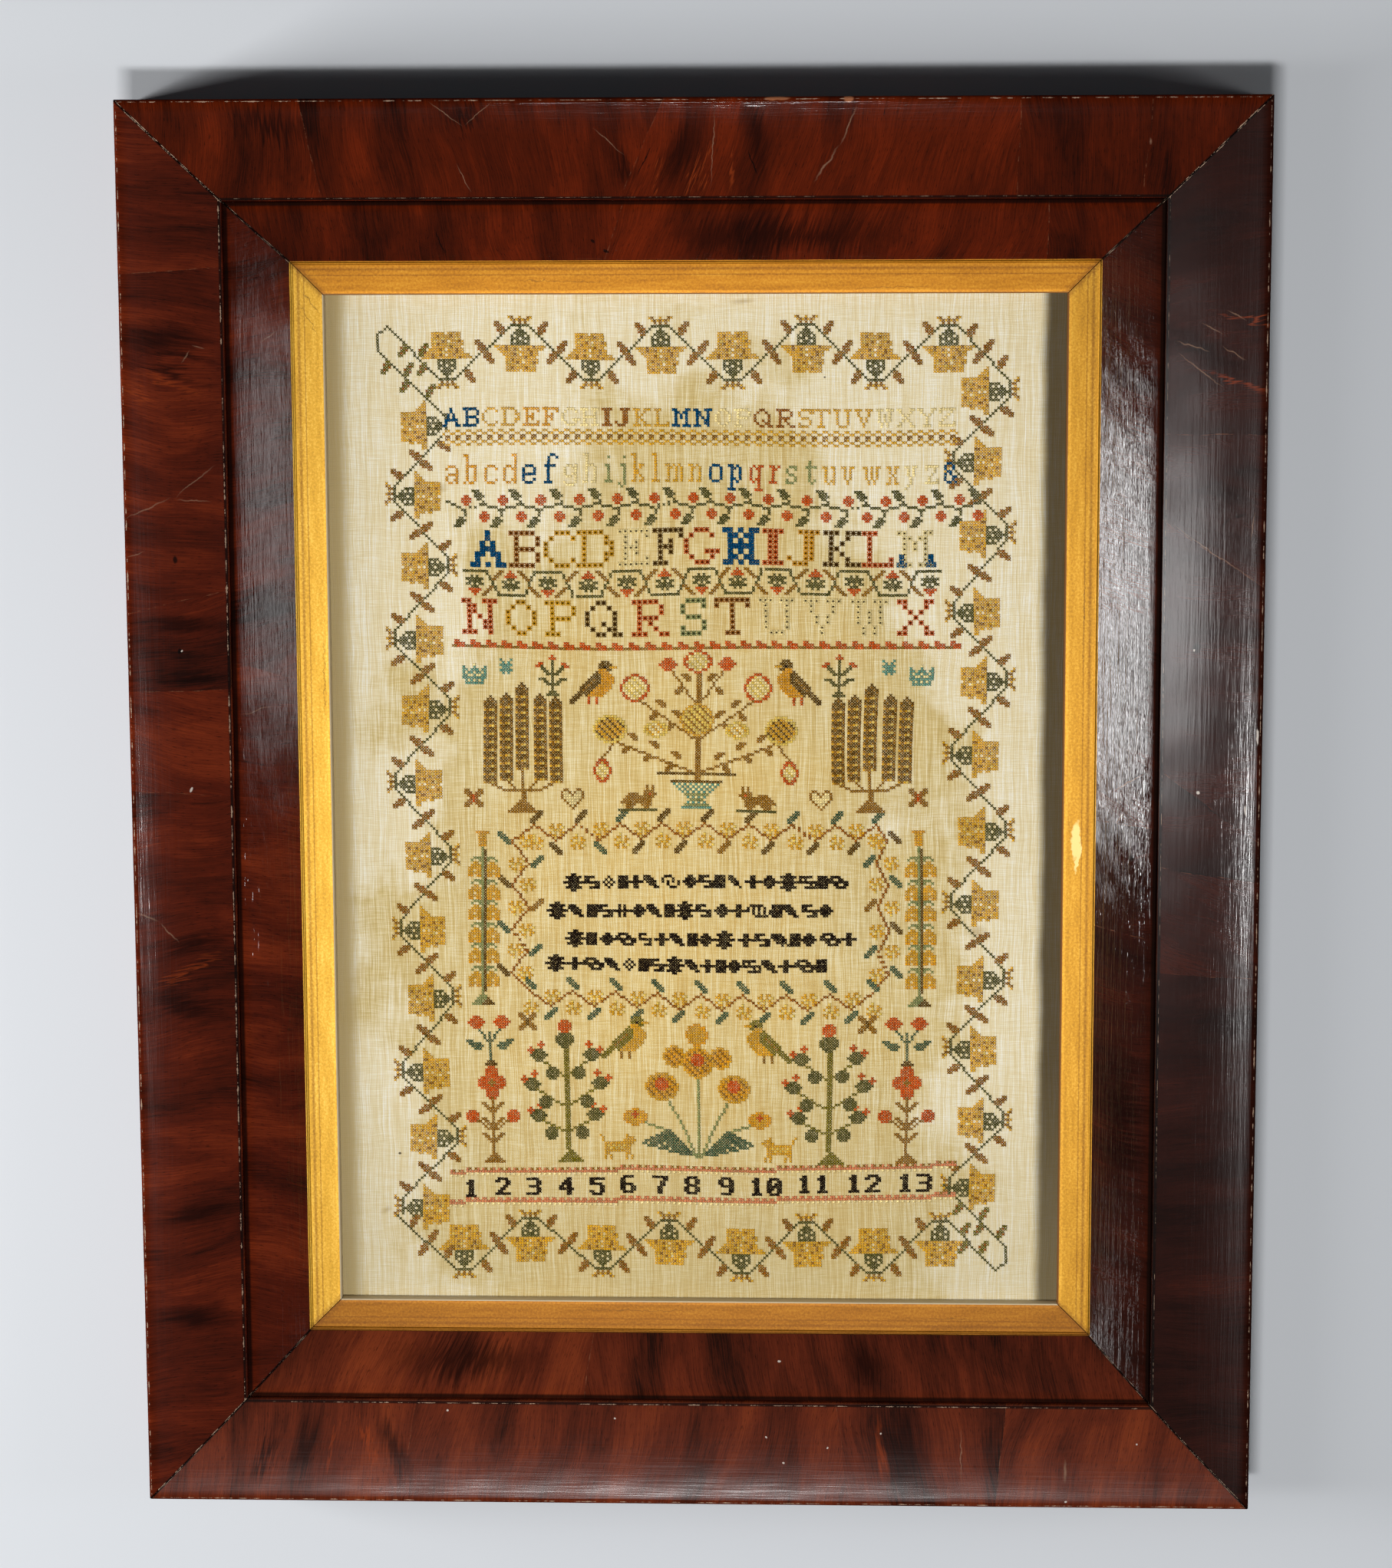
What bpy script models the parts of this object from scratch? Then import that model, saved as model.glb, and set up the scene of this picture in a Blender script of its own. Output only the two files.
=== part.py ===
"""A framed cross stitch sampler lying on its back.

A deep mahogany-veneered frame in two stepped bands, a gilt slip inside it, and the stitched
linen stretched over a thin back board. The origin is the middle of the frame's back face, +Y is
the top of the sampler and +Z is the way the needlework faces.
"""

import math

import bmesh
import bpy

# ---------------------------------------------------------------- driving dimensions, in metres
FRAME_WIDTH = 0.520
FRAME_HEIGHT = 0.656
FRAME_DEPTH = 0.050

OUTER_BAND = 0.0455  # plan width of the outer band
INNER_BAND = 0.0275  # plan width of the inner band
SLIP_SIGHT = 0.0155  # plan width of gilding that shows

OUTER_FALL = 0.015  # how far the outer band drops towards the opening
STEP_FALL = 0.003  # riser between the two bands
OUTER_CROWN = 0.0015  # rise of the outer band's curve over its chord
INNER_CROWN = 0.0012
ARRIS_RADIUS = 0.0015
EDGE_BREAK = 0.0005  # small chamfer where a band meets a riser

SLIP_TOP = 0.0125  # height of the gilding over the back plane
SLIP_THICK = 0.0055
SLIP_TONGUE = 0.0052  # hidden part of the slip, under the wood
SIGHT_EDGE = 0.001  # thickness of the wood where the band runs out over the slip
BEAD_WIDTH = 0.0014
BEAD_HEIGHT = 0.0006

CLOTH_THICK = 0.001
CLOTH_UNDER_SLIP = 0.0185  # how far the linen runs on beneath the slip
BOARD_THICK = 0.004

GAP = 0.0003  # between pieces that touch
BAND_STEPS = 10  # straight facets along each curved band
ARRIS_STEPS = 4
BEAD_STEPS = 6

# ---------------------------------------------------------------- worked out from them
RIDGE_TOP = FRAME_DEPTH - OUTER_FALL
INNER_TOP = RIDGE_TOP - STEP_FALL
WOOD_WIDTH = OUTER_BAND + INNER_BAND
OPENING_INSET = WOOD_WIDTH + SLIP_SIGHT
LIP_UNDERSIDE = SLIP_TOP + GAP
REBATE_INSET = WOOD_WIDTH - SLIP_TONGUE - GAP
CLOTH_TOP = SLIP_TOP - SLIP_THICK - GAP
BOARD_TOP = CLOTH_TOP - CLOTH_THICK - GAP

# each side: its turn about Z in degrees, the distance from the middle to its outer edge, and
# half its outer length
SIDES = (
    {"name": "top", "turn": 0.0, "reach": FRAME_HEIGHT / 2, "half": FRAME_WIDTH / 2},
    {"name": "left", "turn": 90.0, "reach": FRAME_WIDTH / 2, "half": FRAME_HEIGHT / 2},
    {"name": "bottom", "turn": 180.0, "reach": FRAME_HEIGHT / 2, "half": FRAME_WIDTH / 2},
    {"name": "right", "turn": 270.0, "reach": FRAME_WIDTH / 2, "half": FRAME_HEIGHT / 2},
)


def clear_scene():
    for obj in list(bpy.data.objects):
        bpy.data.objects.remove(obj, do_unlink=True)


def make_collection(name):
    collection = bpy.data.collections.new(name)
    bpy.context.scene.collection.children.link(collection)
    return collection


def make_material(name, colour, roughness, metallic=0.0):
    material = bpy.data.materials.new(name)
    material.use_nodes = True
    shader = material.node_tree.nodes["Principled BSDF"]
    shader.inputs["Base Color"].default_value = (*colour, 1.0)
    shader.inputs["Roughness"].default_value = roughness
    shader.inputs["Metallic"].default_value = metallic
    material.diffuse_color = (*colour, 1.0)
    return material


def arc(start, end, rise, steps):
    """Points on a circular arc from start to end that stands `rise` above its chord, both ends included."""
    (x0, z0), (x1, z1) = start, end
    chord = math.hypot(x1 - x0, z1 - z0)
    radius = (chord * chord / 4 + rise * rise) / (2 * rise)
    along = ((x1 - x0) / chord, (z1 - z0) / chord)
    out = (-along[1], along[0])  # square to the chord, on the side away from the back
    half_angle = math.asin(chord / 2 / radius)
    points = []
    for i in range(steps + 1):
        angle = -half_angle + 2 * half_angle * i / steps
        run = chord / 2 + radius * math.sin(angle)
        lift = rise - radius * (1 - math.cos(angle))
        points.append((x0 + along[0] * run + out[0] * lift, z0 + along[1] * run + out[1] * lift))
    return points


def round_corner(centre, radius, start_deg, end_deg, steps):
    """Points of a round corner about `centre`, in (inset, height)."""
    points = []
    for i in range(steps + 1):
        angle = math.radians(start_deg + (end_deg - start_deg) * i / steps)
        points.append((centre[0] + radius * math.cos(angle), centre[1] + radius * math.sin(angle)))
    return points


def outer_outline():
    """Cross-section of the outer rail as (inset, height).

    It has a flat back, a square side, a worn arris and a crowned band.
    """
    centre = (ARRIS_RADIUS, FRAME_DEPTH - ARRIS_RADIUS)
    arris = round_corner(centre, ARRIS_RADIUS, 180, 90, ARRIS_STEPS)
    ridge = (OUTER_BAND - EDGE_BREAK, RIDGE_TOP)
    band = arc((ARRIS_RADIUS, FRAME_DEPTH), ridge, OUTER_CROWN, BAND_STEPS)
    riser = [(OUTER_BAND, RIDGE_TOP - EDGE_BREAK), (OUTER_BAND, 0.0)]
    return [(0.0, 0.0)] + arris + band[1:] + riser


def inner_outline():
    """Cross-section of the inner rail, a step lower, that runs out in a thin lip over the slip."""
    back = OUTER_BAND + GAP
    sight = (WOOD_WIDTH, LIP_UNDERSIDE + SIGHT_EDGE)
    band = arc((back + EDGE_BREAK, INNER_TOP), sight, INNER_CROWN, BAND_STEPS)
    return (
        [(back, 0.0), (back, INNER_TOP - EDGE_BREAK)]
        + band
        + [(WOOD_WIDTH, LIP_UNDERSIDE), (REBATE_INSET, LIP_UNDERSIDE), (REBATE_INSET, 0.0)]
    )


def slip_outline():
    """Cross-section of the gilt slip: a flat strip with a small bead beside the wood."""
    under = SLIP_TOP - SLIP_THICK
    bead_start = WOOD_WIDTH + GAP
    bead_end = bead_start + BEAD_WIDTH
    bead = arc((bead_start, SLIP_TOP), (bead_end, SLIP_TOP), BEAD_HEIGHT, BEAD_STEPS)
    tongue = [(WOOD_WIDTH - SLIP_TONGUE, under), (WOOD_WIDTH - SLIP_TONGUE, SLIP_TOP)]
    sight_edge = [
        (OPENING_INSET - EDGE_BREAK, SLIP_TOP),
        (OPENING_INSET, SLIP_TOP - EDGE_BREAK),
        (OPENING_INSET, under),
    ]
    return tongue + bead + sight_edge


def moulding(name, outline, side, material, collection):
    """One mitred length: each point of the outline is drawn back by its inset at both ends."""
    cut_back = GAP / 2 * math.sqrt(2)
    mesh = bpy.data.meshes.new(name)
    shape = bmesh.new()
    first = [shape.verts.new((-side["half"], -inset, height)) for inset, height in outline]
    section = shape.faces.new(first)
    made = bmesh.ops.extrude_face_region(shape, geom=[section])
    far_end = [item for item in made["geom"] if isinstance(item, bmesh.types.BMVert)]
    bmesh.ops.translate(shape, verts=far_end, vec=(2 * side["half"], 0.0, 0.0))
    for vert in shape.verts:
        vert.co.x -= math.copysign(cut_back - vert.co.y, vert.co.x)
    bmesh.ops.recalc_face_normals(shape, faces=shape.faces)
    shape.to_mesh(mesh)
    shape.free()
    obj = bpy.data.objects.new(name, mesh)
    turn = math.radians(side["turn"])
    obj.rotation_euler.z = turn
    obj.location = (-side["reach"] * math.sin(turn), side["reach"] * math.cos(turn), 0.0)
    mesh.materials.append(material)
    mesh.shade_smooth()
    mesh.set_sharp_from_angle(angle=math.radians(20))
    collection.objects.link(obj)
    return obj


def flat_piece(name, inset, top, thick, material, collection):
    """A flat rectangle whose edges lie `inset` inside the frame's outer edges."""
    width = FRAME_WIDTH - 2 * inset
    height = FRAME_HEIGHT - 2 * inset
    mesh = bpy.data.meshes.new(name)
    shape = bmesh.new()
    bmesh.ops.create_cube(shape, size=1.0)
    bmesh.ops.scale(shape, verts=shape.verts, vec=(width, height, thick))
    shape.to_mesh(mesh)
    shape.free()
    obj = bpy.data.objects.new(name, mesh)
    obj.location.z = top - thick / 2
    mesh.materials.append(material)
    collection.objects.link(obj)
    return obj


def build_frame(collection):
    for side in SIDES:
        outer_veneer = make_material(f"outer veneer {side['name']}", (0.115, 0.026, 0.013), 0.28)
        inner_veneer = make_material(f"inner veneer {side['name']}", (0.085, 0.020, 0.012), 0.24)
        gilding = make_material(f"gilding {side['name']}", (0.62, 0.35, 0.08), 0.45, metallic=0.6)
        moulding(f"outer_rail_{side['name']}", outer_outline(), side, outer_veneer, collection)
        moulding(f"inner_rail_{side['name']}", inner_outline(), side, inner_veneer, collection)
        moulding(f"gilt_slip_{side['name']}", slip_outline(), side, gilding, collection)


def build_sampler(collection):
    linen = make_material("plain woven linen", (0.68, 0.60, 0.43), 0.9)
    pine = make_material("pine board", (0.42, 0.29, 0.16), 0.75)
    cloth_inset = OPENING_INSET - CLOTH_UNDER_SLIP
    board_inset = WOOD_WIDTH - SLIP_TONGUE
    flat_piece("sampler_cloth", cloth_inset, CLOTH_TOP, CLOTH_THICK, linen, collection)
    flat_piece("back_board", board_inset, BOARD_TOP, BOARD_THICK, pine, collection)


clear_scene()
parts = make_collection("framed cross stitch sampler")
build_frame(parts)
build_sampler(parts)
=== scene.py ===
# %% [markdown]
# # A framed cross stitch sampler
#
# The real thing is a stitched linen panel in a deep veneered frame, lying on its back. The solid model gives
# each piece its place and size. This lesson dresses it: the mouldings get a fine surface, veneer, polish and
# gilding, and the linen its weave and every cross of thread. First the solid model is loaded and measured.

# %% Load the solid model and keep its box
import functools
import math

import bpy
import numpy as np
from mathutils import Matrix, Vector


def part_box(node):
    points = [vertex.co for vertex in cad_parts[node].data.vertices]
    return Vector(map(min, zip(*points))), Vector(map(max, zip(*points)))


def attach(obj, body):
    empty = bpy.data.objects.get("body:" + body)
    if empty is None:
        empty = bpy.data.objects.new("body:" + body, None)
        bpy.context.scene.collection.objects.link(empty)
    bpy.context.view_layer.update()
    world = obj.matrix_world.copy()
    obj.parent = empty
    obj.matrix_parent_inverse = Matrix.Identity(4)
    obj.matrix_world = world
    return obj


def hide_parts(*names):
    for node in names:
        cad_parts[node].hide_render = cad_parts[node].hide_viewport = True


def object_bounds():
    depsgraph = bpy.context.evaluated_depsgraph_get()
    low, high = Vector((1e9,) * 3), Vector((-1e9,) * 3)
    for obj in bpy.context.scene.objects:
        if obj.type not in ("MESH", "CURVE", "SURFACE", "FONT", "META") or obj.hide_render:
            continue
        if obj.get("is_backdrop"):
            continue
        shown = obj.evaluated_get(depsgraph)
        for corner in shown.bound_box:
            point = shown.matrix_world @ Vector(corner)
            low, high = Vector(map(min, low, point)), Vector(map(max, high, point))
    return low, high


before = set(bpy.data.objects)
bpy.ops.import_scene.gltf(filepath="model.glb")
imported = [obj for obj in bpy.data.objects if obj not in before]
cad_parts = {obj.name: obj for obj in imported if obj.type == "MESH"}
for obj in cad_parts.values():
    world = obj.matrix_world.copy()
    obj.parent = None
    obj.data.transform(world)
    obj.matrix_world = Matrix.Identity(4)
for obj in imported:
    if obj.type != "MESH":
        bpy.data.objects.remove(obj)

solid_box = [list(corner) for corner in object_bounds()]
HALF_WIDTH, HALF_HEIGHT, DEPTH = solid_box[1]
MM = 0.001
print(f"solid model: {2000 * HALF_WIDTH:.1f} x {2000 * HALF_HEIGHT:.1f} x {1000 * DEPTH:.1f} mm")

# %% [markdown]
# ## Camera
#
# The object was photographed from nearly overhead, with the camera a little above its middle. A camera's
# matrix has its right, up and backward directions as columns, so the view direction and a small lean of the
# up direction are enough to write it. A fitted lens of 88 mm on a 36 mm wide sensor gives the same picture
# width at 1.76 m.

# %% Set the camera
CAMERA_AT = Vector((0.0701, 0.2852, 1.7914))
AIMED_AT = Vector((0.0014, 0.0171, DEPTH))
CAMERA_LEAN = math.radians(0.22)
SENSOR_MM, LENS_MM = 36, 88.11

backward = (CAMERA_AT - AIMED_AT).normalized()
level_right = Vector((0, 1, 0)).cross(backward).normalized()
level_up = backward.cross(level_right)
right = level_right * math.cos(CAMERA_LEAN) - level_up * math.sin(CAMERA_LEAN)
up = level_up * math.cos(CAMERA_LEAN) + level_right * math.sin(CAMERA_LEAN)
camera = bpy.data.objects.new("camera", bpy.data.cameras.new("camera"))
camera.matrix_world = Matrix.Translation(CAMERA_AT) @ Matrix((right, up, backward)).transposed().to_4x4()
camera.data.sensor_width, camera.data.lens = SENSOR_MM, LENS_MM
link = bpy.context.scene.collection.objects.link
link(camera)
bpy.context.scene.camera = camera
print(f"camera {(CAMERA_AT - AIMED_AT).length:.3f} m from the frame's front")

# %% [markdown]
# ## Materials from one helper
#
# Every finish below is a small network of nodes. One function adds a node with its settings and fills its
# sockets: each gets a number, a colour or the output it reads from. Colours are written as sRGB hex values,
# the way they would be picked from a paint chart, and one function turns them into the linear values that
# light adds up in. Patterns are laid out in real millimetres.

# %% Colour and node helpers
def linear(hex_colour):
    """An sRGB hex colour as linear RGBA: c / 12.92 when dark, else ((c + 0.055) / 1.055) ^ 2.4."""
    srgb = np.array([int(hex_colour[i : i + 2], 16) / 255 for i in (1, 3, 5)])
    return (*np.where(srgb <= 0.04045, srgb / 12.92, ((srgb + 0.055) / 1.055) ** 2.4), 1.0)


def fill(node, sockets):
    """Gives each socket of a node its number, its hex colour or the output it reads."""
    for place, value in sockets.items():
        if isinstance(value, bpy.types.NodeSocket):
            node.id_data.links.new(value, node.inputs[place])
        else:
            node.inputs[place].default_value = linear(value) if isinstance(value, str) else value


def add(tree, kind, sockets=(), out=0, stops=(), **settings):
    """Adds a node and returns its output `out`. kind may name an operation after the node's type. sockets are
    a list from the first one on, or a dictionary. stops are the (place, colour) pairs of a ramp."""
    kind, *operation = kind.split()
    made = tree.nodes.new(f"ShaderNode{kind}")
    for name, value in [*settings.items(), *(("operation", name) for name in operation)]:
        setattr(made, name, value)
    fill(made, sockets if isinstance(sockets, dict) else dict(enumerate(sockets)))
    for i, (place, colour) in enumerate(stops):
        ramp = made.color_ramp.elements
        stop = ramp[i] if i < 2 else ramp.new(place)
        stop.position, stop.color = place, linear(colour)
    return made.outputs[out]


def finish_named(name):
    """An empty material, its one shader, and `add` tied to its node tree."""
    material = bpy.data.materials.new(name)
    material.use_nodes = True
    tree = material.node_tree
    return material, tree.nodes["Principled BSDF"], functools.partial(add, tree)


def millimetres(node, uv_map=None):
    """Where a point lies, in mm: on the piece's UV map if one is named, else on the whole object."""
    place = node("UVMap", uv_map=uv_map) if uv_map else node("TexCoord", out="Object")
    return node("Mapping", {"Vector": place, "Scale": (1000, 1000, 1000)})


def streaks(node, mm, wide, long, detail, roughness=0.5, turn=0.0):
    """Noise drawn out into patches `wide` by `long` mm."""
    scaled = node("Mapping", {"Vector": mm, "Scale": (1 / wide, 1 / long, 1), "Rotation": (0, 0, turn)})
    return node("TexNoise", {"Vector": scaled, "Scale": 1.0, "Detail": detail, "Roughness": roughness})


print("a mid grey #808080 is", round(linear("#808080")[0], 3), "in linear light")

# %% [markdown]
# ## Floor and light
#
# A plain pale floor stands in for the table. The studio's main lamp is a soft one overhead, on the near
# side. Two more stand left and one right, low down. They matter most: a sloping polished band mirrors what
# is low on the other side, so the lamps on the left become the long white glare on the right rails, which
# shows every ripple of the polish.

# %% Lay the floor and hang the lamps
# name, place, what it faces, (width, height) in metres, and watts
LAMPS = (
    ("overhead", (-0.08, -0.39, 2.3), (0, 0, 0), (0.4, 0.14), 33),
    ("left_box", (-1.5, -0.11, 0.55), (0.1, 0.05, 0), (0.38, 0.42), 17),
    ("left_wall", (-1.1, -0.11, 1.35), (0.1, 0.05, 0), (0.22, 0.7), 4.5),
    ("right_box", (1.45, -0.03, 0.8), (-0.1, 0.0, 0), (0.36, 0.9), 3.6),
)
ROOM_LIGHT = {"Color": "#d8dde4", "Strength": 0.05}
FLOOR_SIZE = 8.0

for name, at, aim, size, watts in LAMPS:
    lamp = bpy.data.lights.new(name, "AREA")
    lamp.shape = "RECTANGLE"
    lamp.size, lamp.size_y = size
    lamp.energy = watts
    box = bpy.data.objects.new(name, lamp)
    box.location = at
    box.rotation_euler = (Vector(aim) - Vector(at)).to_track_quat("-Z", "Y").to_euler()
    link(box)

world = bpy.data.worlds.new("studio")
world.use_nodes = True
fill(world.node_tree.nodes["Background"], ROOM_LIGHT)
bpy.context.scene.world = world
bpy.context.scene.view_settings.view_transform = "Standard"

floor_mesh = bpy.data.meshes.new("floor")
edge = FLOOR_SIZE / 2
floor_mesh.from_pydata([(-edge, -edge, 0), (edge, -edge, 0), (edge, edge, 0), (-edge, edge, 0)], [],
                       [(0, 1, 2, 3)])
floor = bpy.data.objects.new("floor", floor_mesh)
paper, shader, _ = finish_named("pale grey backdrop paper")
fill(shader, {"Base Color": "#cdd0d4", "Roughness": 0.9})
floor_mesh.materials.append(paper)
link(floor)
floor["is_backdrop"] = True
print("floor", FLOOR_SIZE, "m square and", len(LAMPS), "lamps")

# %% [markdown]
# ## Mouldings
#
# A frame maker planes a moulding as one long section and cuts it at 45 degrees. The same is done here: a
# section drawn as (inset from the frame's outer edge, height over its back) is carried along the side, and
# each of its points stops short by its own inset, which is what a mitre is. The solid model does this with
# about 17 points; here the curves have more, so that the polish can mirror lamps without facets, and the face
# wavers by a few hundredths of a millimetre as old veneer does. Most widths and heights are measured on the
# solid pieces. The step, the small curves and the bevels are given here.

# %% Measures, taken from the solid pieces' boxes
outer_box, inner_box, slip_box = (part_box(f"{piece}_left")
                                  for piece in ("outer_rail", "inner_rail", "gilt_slip"))
OUTER_BAND = outer_box[1].x + HALF_WIDTH
INNER_START = inner_box[0].x + HALF_WIDTH
WOOD_WIDTH = inner_box[1].x + HALF_WIDTH
INNER_TOP = inner_box[1].z
SLIP_START = slip_box[0].x + HALF_WIDTH
OPENING_INSET = slip_box[1].x + HALF_WIDTH
SLIP_UNDER = slip_box[0].z
RIDGE_TOP = INNER_TOP + 3 * MM
ARRIS = 1.5 * MM
EDGE_BREAK = 0.5 * MM
CLEARANCE = 0.3 * MM
CROWN = {"outer": 1.5 * MM, "inner": 1.2 * MM}
BEAD = {"start": WOOD_WIDTH + CLEARANCE, "width": 1.4 * MM, "rise": 0.6 * MM}
SLIP_FACE = 12.5 * MM
LIP = {"under": SLIP_FACE + CLEARANCE, "thick": 1.0 * MM}
print(f"wood {WOOD_WIDTH / MM:.1f} mm wide, opening {OPENING_INSET / MM:.1f} mm inside the frame's edge")

# %% [markdown]
# A section is drawn as a joiner draws it: straight stretches by their end points, a worn edge as a quarter
# circle, and a band as a shallow curve over its chord. Two small functions make the curves, so a section is
# short to write and can be as fine as the light needs.

# %% Sections
def crowned(start, end, rise, count):
    """A curved face between two points: their straight line plus rise * (1 - t * t) square to it, with t from
    -1 to 1."""
    t = np.linspace(-1, 1, count)
    (x0, z0), (x1, z1) = start, end
    chord = math.hypot(x1 - x0, z1 - z0)
    lift = rise * (1 - t * t)
    x = x0 + (x1 - x0) * (t + 1) / 2 - (z1 - z0) / chord * lift
    z = z0 + (z1 - z0) * (t + 1) / 2 + (x1 - x0) / chord * lift
    return np.stack([x, z], 1)


def quarter(centre, radius, count):
    """A quarter circle from left to top: centre + radius * (-cos a, sin a), with a from 0 to 90 degrees."""
    a = np.linspace(0, math.pi / 2, count)
    return np.stack([centre[0] - radius * np.cos(a), centre[1] + radius * np.sin(a)], 1)


outer_section = np.concatenate([
    [(0, 0), (0, DEPTH * 0.35), (0, DEPTH * 0.7)],
    quarter((ARRIS, DEPTH - ARRIS), ARRIS, 7),
    crowned((ARRIS, DEPTH), (OUTER_BAND - EDGE_BREAK, RIDGE_TOP), CROWN["outer"], 40)[1:],
    [(OUTER_BAND - EDGE_BREAK * 0.3, RIDGE_TOP - EDGE_BREAK * 0.3), (OUTER_BAND, RIDGE_TOP - EDGE_BREAK),
     (OUTER_BAND, RIDGE_TOP - 4 * MM), (OUTER_BAND, 0)],
])
inner_section = np.concatenate([
    [(INNER_START, 0), (INNER_START, INNER_TOP - 2 * MM), (INNER_START, INNER_TOP - EDGE_BREAK)],
    crowned((INNER_START + EDGE_BREAK, INNER_TOP), (WOOD_WIDTH, LIP["under"] + LIP["thick"]),
            CROWN["inner"], 34),
    [(WOOD_WIDTH, LIP["under"]), (SLIP_START - CLEARANCE, LIP["under"]), (SLIP_START - CLEARANCE, 0)],
])
slip_section = np.concatenate([
    [(SLIP_START, SLIP_UNDER), (SLIP_START, SLIP_FACE)],
    crowned((BEAD["start"], SLIP_FACE), (BEAD["start"] + BEAD["width"], SLIP_FACE), BEAD["rise"], 9),
    np.stack([np.linspace(BEAD["start"] + 2 * MM, OPENING_INSET - EDGE_BREAK, 9), np.full(9, SLIP_FACE)], 1),
    [(OPENING_INSET - EDGE_BREAK * 0.3, SLIP_FACE - EDGE_BREAK * 0.3),
     (OPENING_INSET, SLIP_FACE - EDGE_BREAK), (OPENING_INSET, SLIP_UNDER)],
])
print("section points: outer", len(outer_section), "inner", len(inner_section), "slip", len(slip_section))

# %% [markdown]
# The surface of a length of moulding is a grid: stations along it by points around its section. numpy works
# out all of it at once, the faces join each grid cell, and one many-sided face closes each end. Every corner
# also gets a UV place in metres, u along the length and v across from the worn outer edge, so that grain,
# joints and wear can be laid out on the wood as a cabinet maker would measure them.

# %% Join a grid of points into a skin
SHARP = math.radians(35)


def rolling(u, v, height, lengths, seed):
    """Slow unevenness: the mean of five sine waves over (u, v), their directions and lengths seeded."""
    waves = np.random.default_rng(seed)
    total = np.zeros(np.broadcast(u, v).shape)
    for _ in range(5):
        wave = 2 * math.pi / waves.uniform(*lengths)
        turn = waves.uniform(0, math.pi)
        total += np.sin(wave * (u * math.cos(turn) + v * math.sin(turn)) + waves.uniform(0, 6.28))
    return height * total / 5


def closed_skin(name, grid, uv, material):
    """A closed tube from a grid (station, point, xyz): a quad for each cell and one face over each end."""
    stations, points = grid.shape[:2]
    i, j = (a.ravel() for a in np.meshgrid(np.arange(stations - 1), np.arange(points), indexing="ij"))
    k = (j + 1) % points
    quads = np.stack([i * points + j, (i + 1) * points + j, (i + 1) * points + k, i * points + k], 1)
    ends = [list(range(points)), list(range(stations * points - 1, (stations - 1) * points - 1, -1))]
    corner_uv = np.stack([uv[i, j], uv[i + 1, j], uv[i + 1, j + 1], uv[i, j + 1]], 1).reshape(-1, 2)
    end_uv = np.concatenate([uv[0, :points], uv[-1, :points][::-1]])
    mesh = bpy.data.meshes.new(name)
    mesh.from_pydata(grid.reshape(-1, 3).tolist(), [], quads.tolist() + ends)
    layer = mesh.uv_layers.new(name="across_the_grain")
    layer.uv.foreach_set("vector", np.concatenate([corner_uv, end_uv]).ravel())
    mesh.materials.append(material)
    mesh.shade_smooth()
    mesh.set_sharp_from_angle(angle=SHARP)
    piece = bpy.data.objects.new(name, mesh)
    link(piece)
    return piece


steps = np.linspace(0, 1, 500)
print(f"a face waved by 0.05 mm strays by {rolling(steps, 0, 0.05, (0.012, 0.05), 1).max():.3f} mm at most")

# %% [markdown]
# Each side is carried flat along X first, where a mitre is one line of arithmetic, and then turned to its
# place round the frame. The distance to the nearest mitre is kept at every point, because dirt gathers and
# veneer chips there.

# %% Carry a section along a side
# each side and its turn about Z in degrees
SIDES = {"top": 0, "left": 90, "bottom": 180, "right": 270}
MITRE_GAP = 0.15 * MM * math.sqrt(2)
STATION = 2.6 * MM


def moulding(name, section, side, zero, unevenness, material):
    """A mitred length. A point (inset, height) at place s, from -1 to 1, lies at
    x = s * (half length - inset) and y = reach - inset, before the whole is turned about Z to its side.
    v is 0 at the section point zero."""
    turn = math.radians(SIDES[side])
    across = side in ("top", "bottom")
    reach, half = (HALF_HEIGHT, HALF_WIDTH) if across else (HALF_WIDTH, HALF_HEIGHT)
    s = np.linspace(-1, 1, 2 * round(half / STATION) + 1)[:, None]
    inset, height = section[:, 0][None], section[:, 1][None]
    u = s * (half - inset - MITRE_GAP)
    steps = np.hypot(*np.diff(np.concatenate([section, section[:1]]), axis=0).T)
    v = np.concatenate([[0], np.cumsum(steps)])
    v -= v[zero]
    along = np.roll(section, -1, 0) - np.roll(section, 1, 0)
    outward = np.stack([-along[:, 1], along[:, 0]], 1) / np.hypot(*along.T)[:, None]
    lift = rolling(u, v[None, :-1], unevenness, (0.012, 0.05), SIDES[side] + len(section))
    lift *= np.clip(height / SLIP_UNDER, 0, 1)
    y = reach - inset - outward[:, 0] * lift
    z = np.maximum(height + outward[:, 1] * lift, 0)
    grid = np.stack([u * math.cos(turn) - y * math.sin(turn), u * math.sin(turn) + y * math.cos(turn), z], 2)
    long_u = np.concatenate([u, u[:, :1]], 1)
    piece = closed_skin(name, grid, np.stack([long_u, np.broadcast_to(v[None], long_u.shape)], 2), material)
    to_mitre = (1 - np.abs(s)) * (half - inset) / MM
    piece.data.attributes.new("mm_to_mitre", "FLOAT", "POINT").data.foreach_set("value", to_mitre.ravel())
    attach(piece, "root")
    return piece


print("sides", list(SIDES), f"with a station every {STATION / MM} mm")

# %% [markdown]
# ## Marks of age
#
# An old frame has dark flames in its veneer, hairline cracks, pits, chips and specks, each in its own place.
# They could be painted on an image. Here each is an ellipse, given in millimetres along and across its rail,
# which stays sharp at any distance and is easy to move. The ellipses of one kind share a colour, a strength
# and a softness, and make one coat. Every finish below is a ground colour with its coats laid over it.

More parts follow.
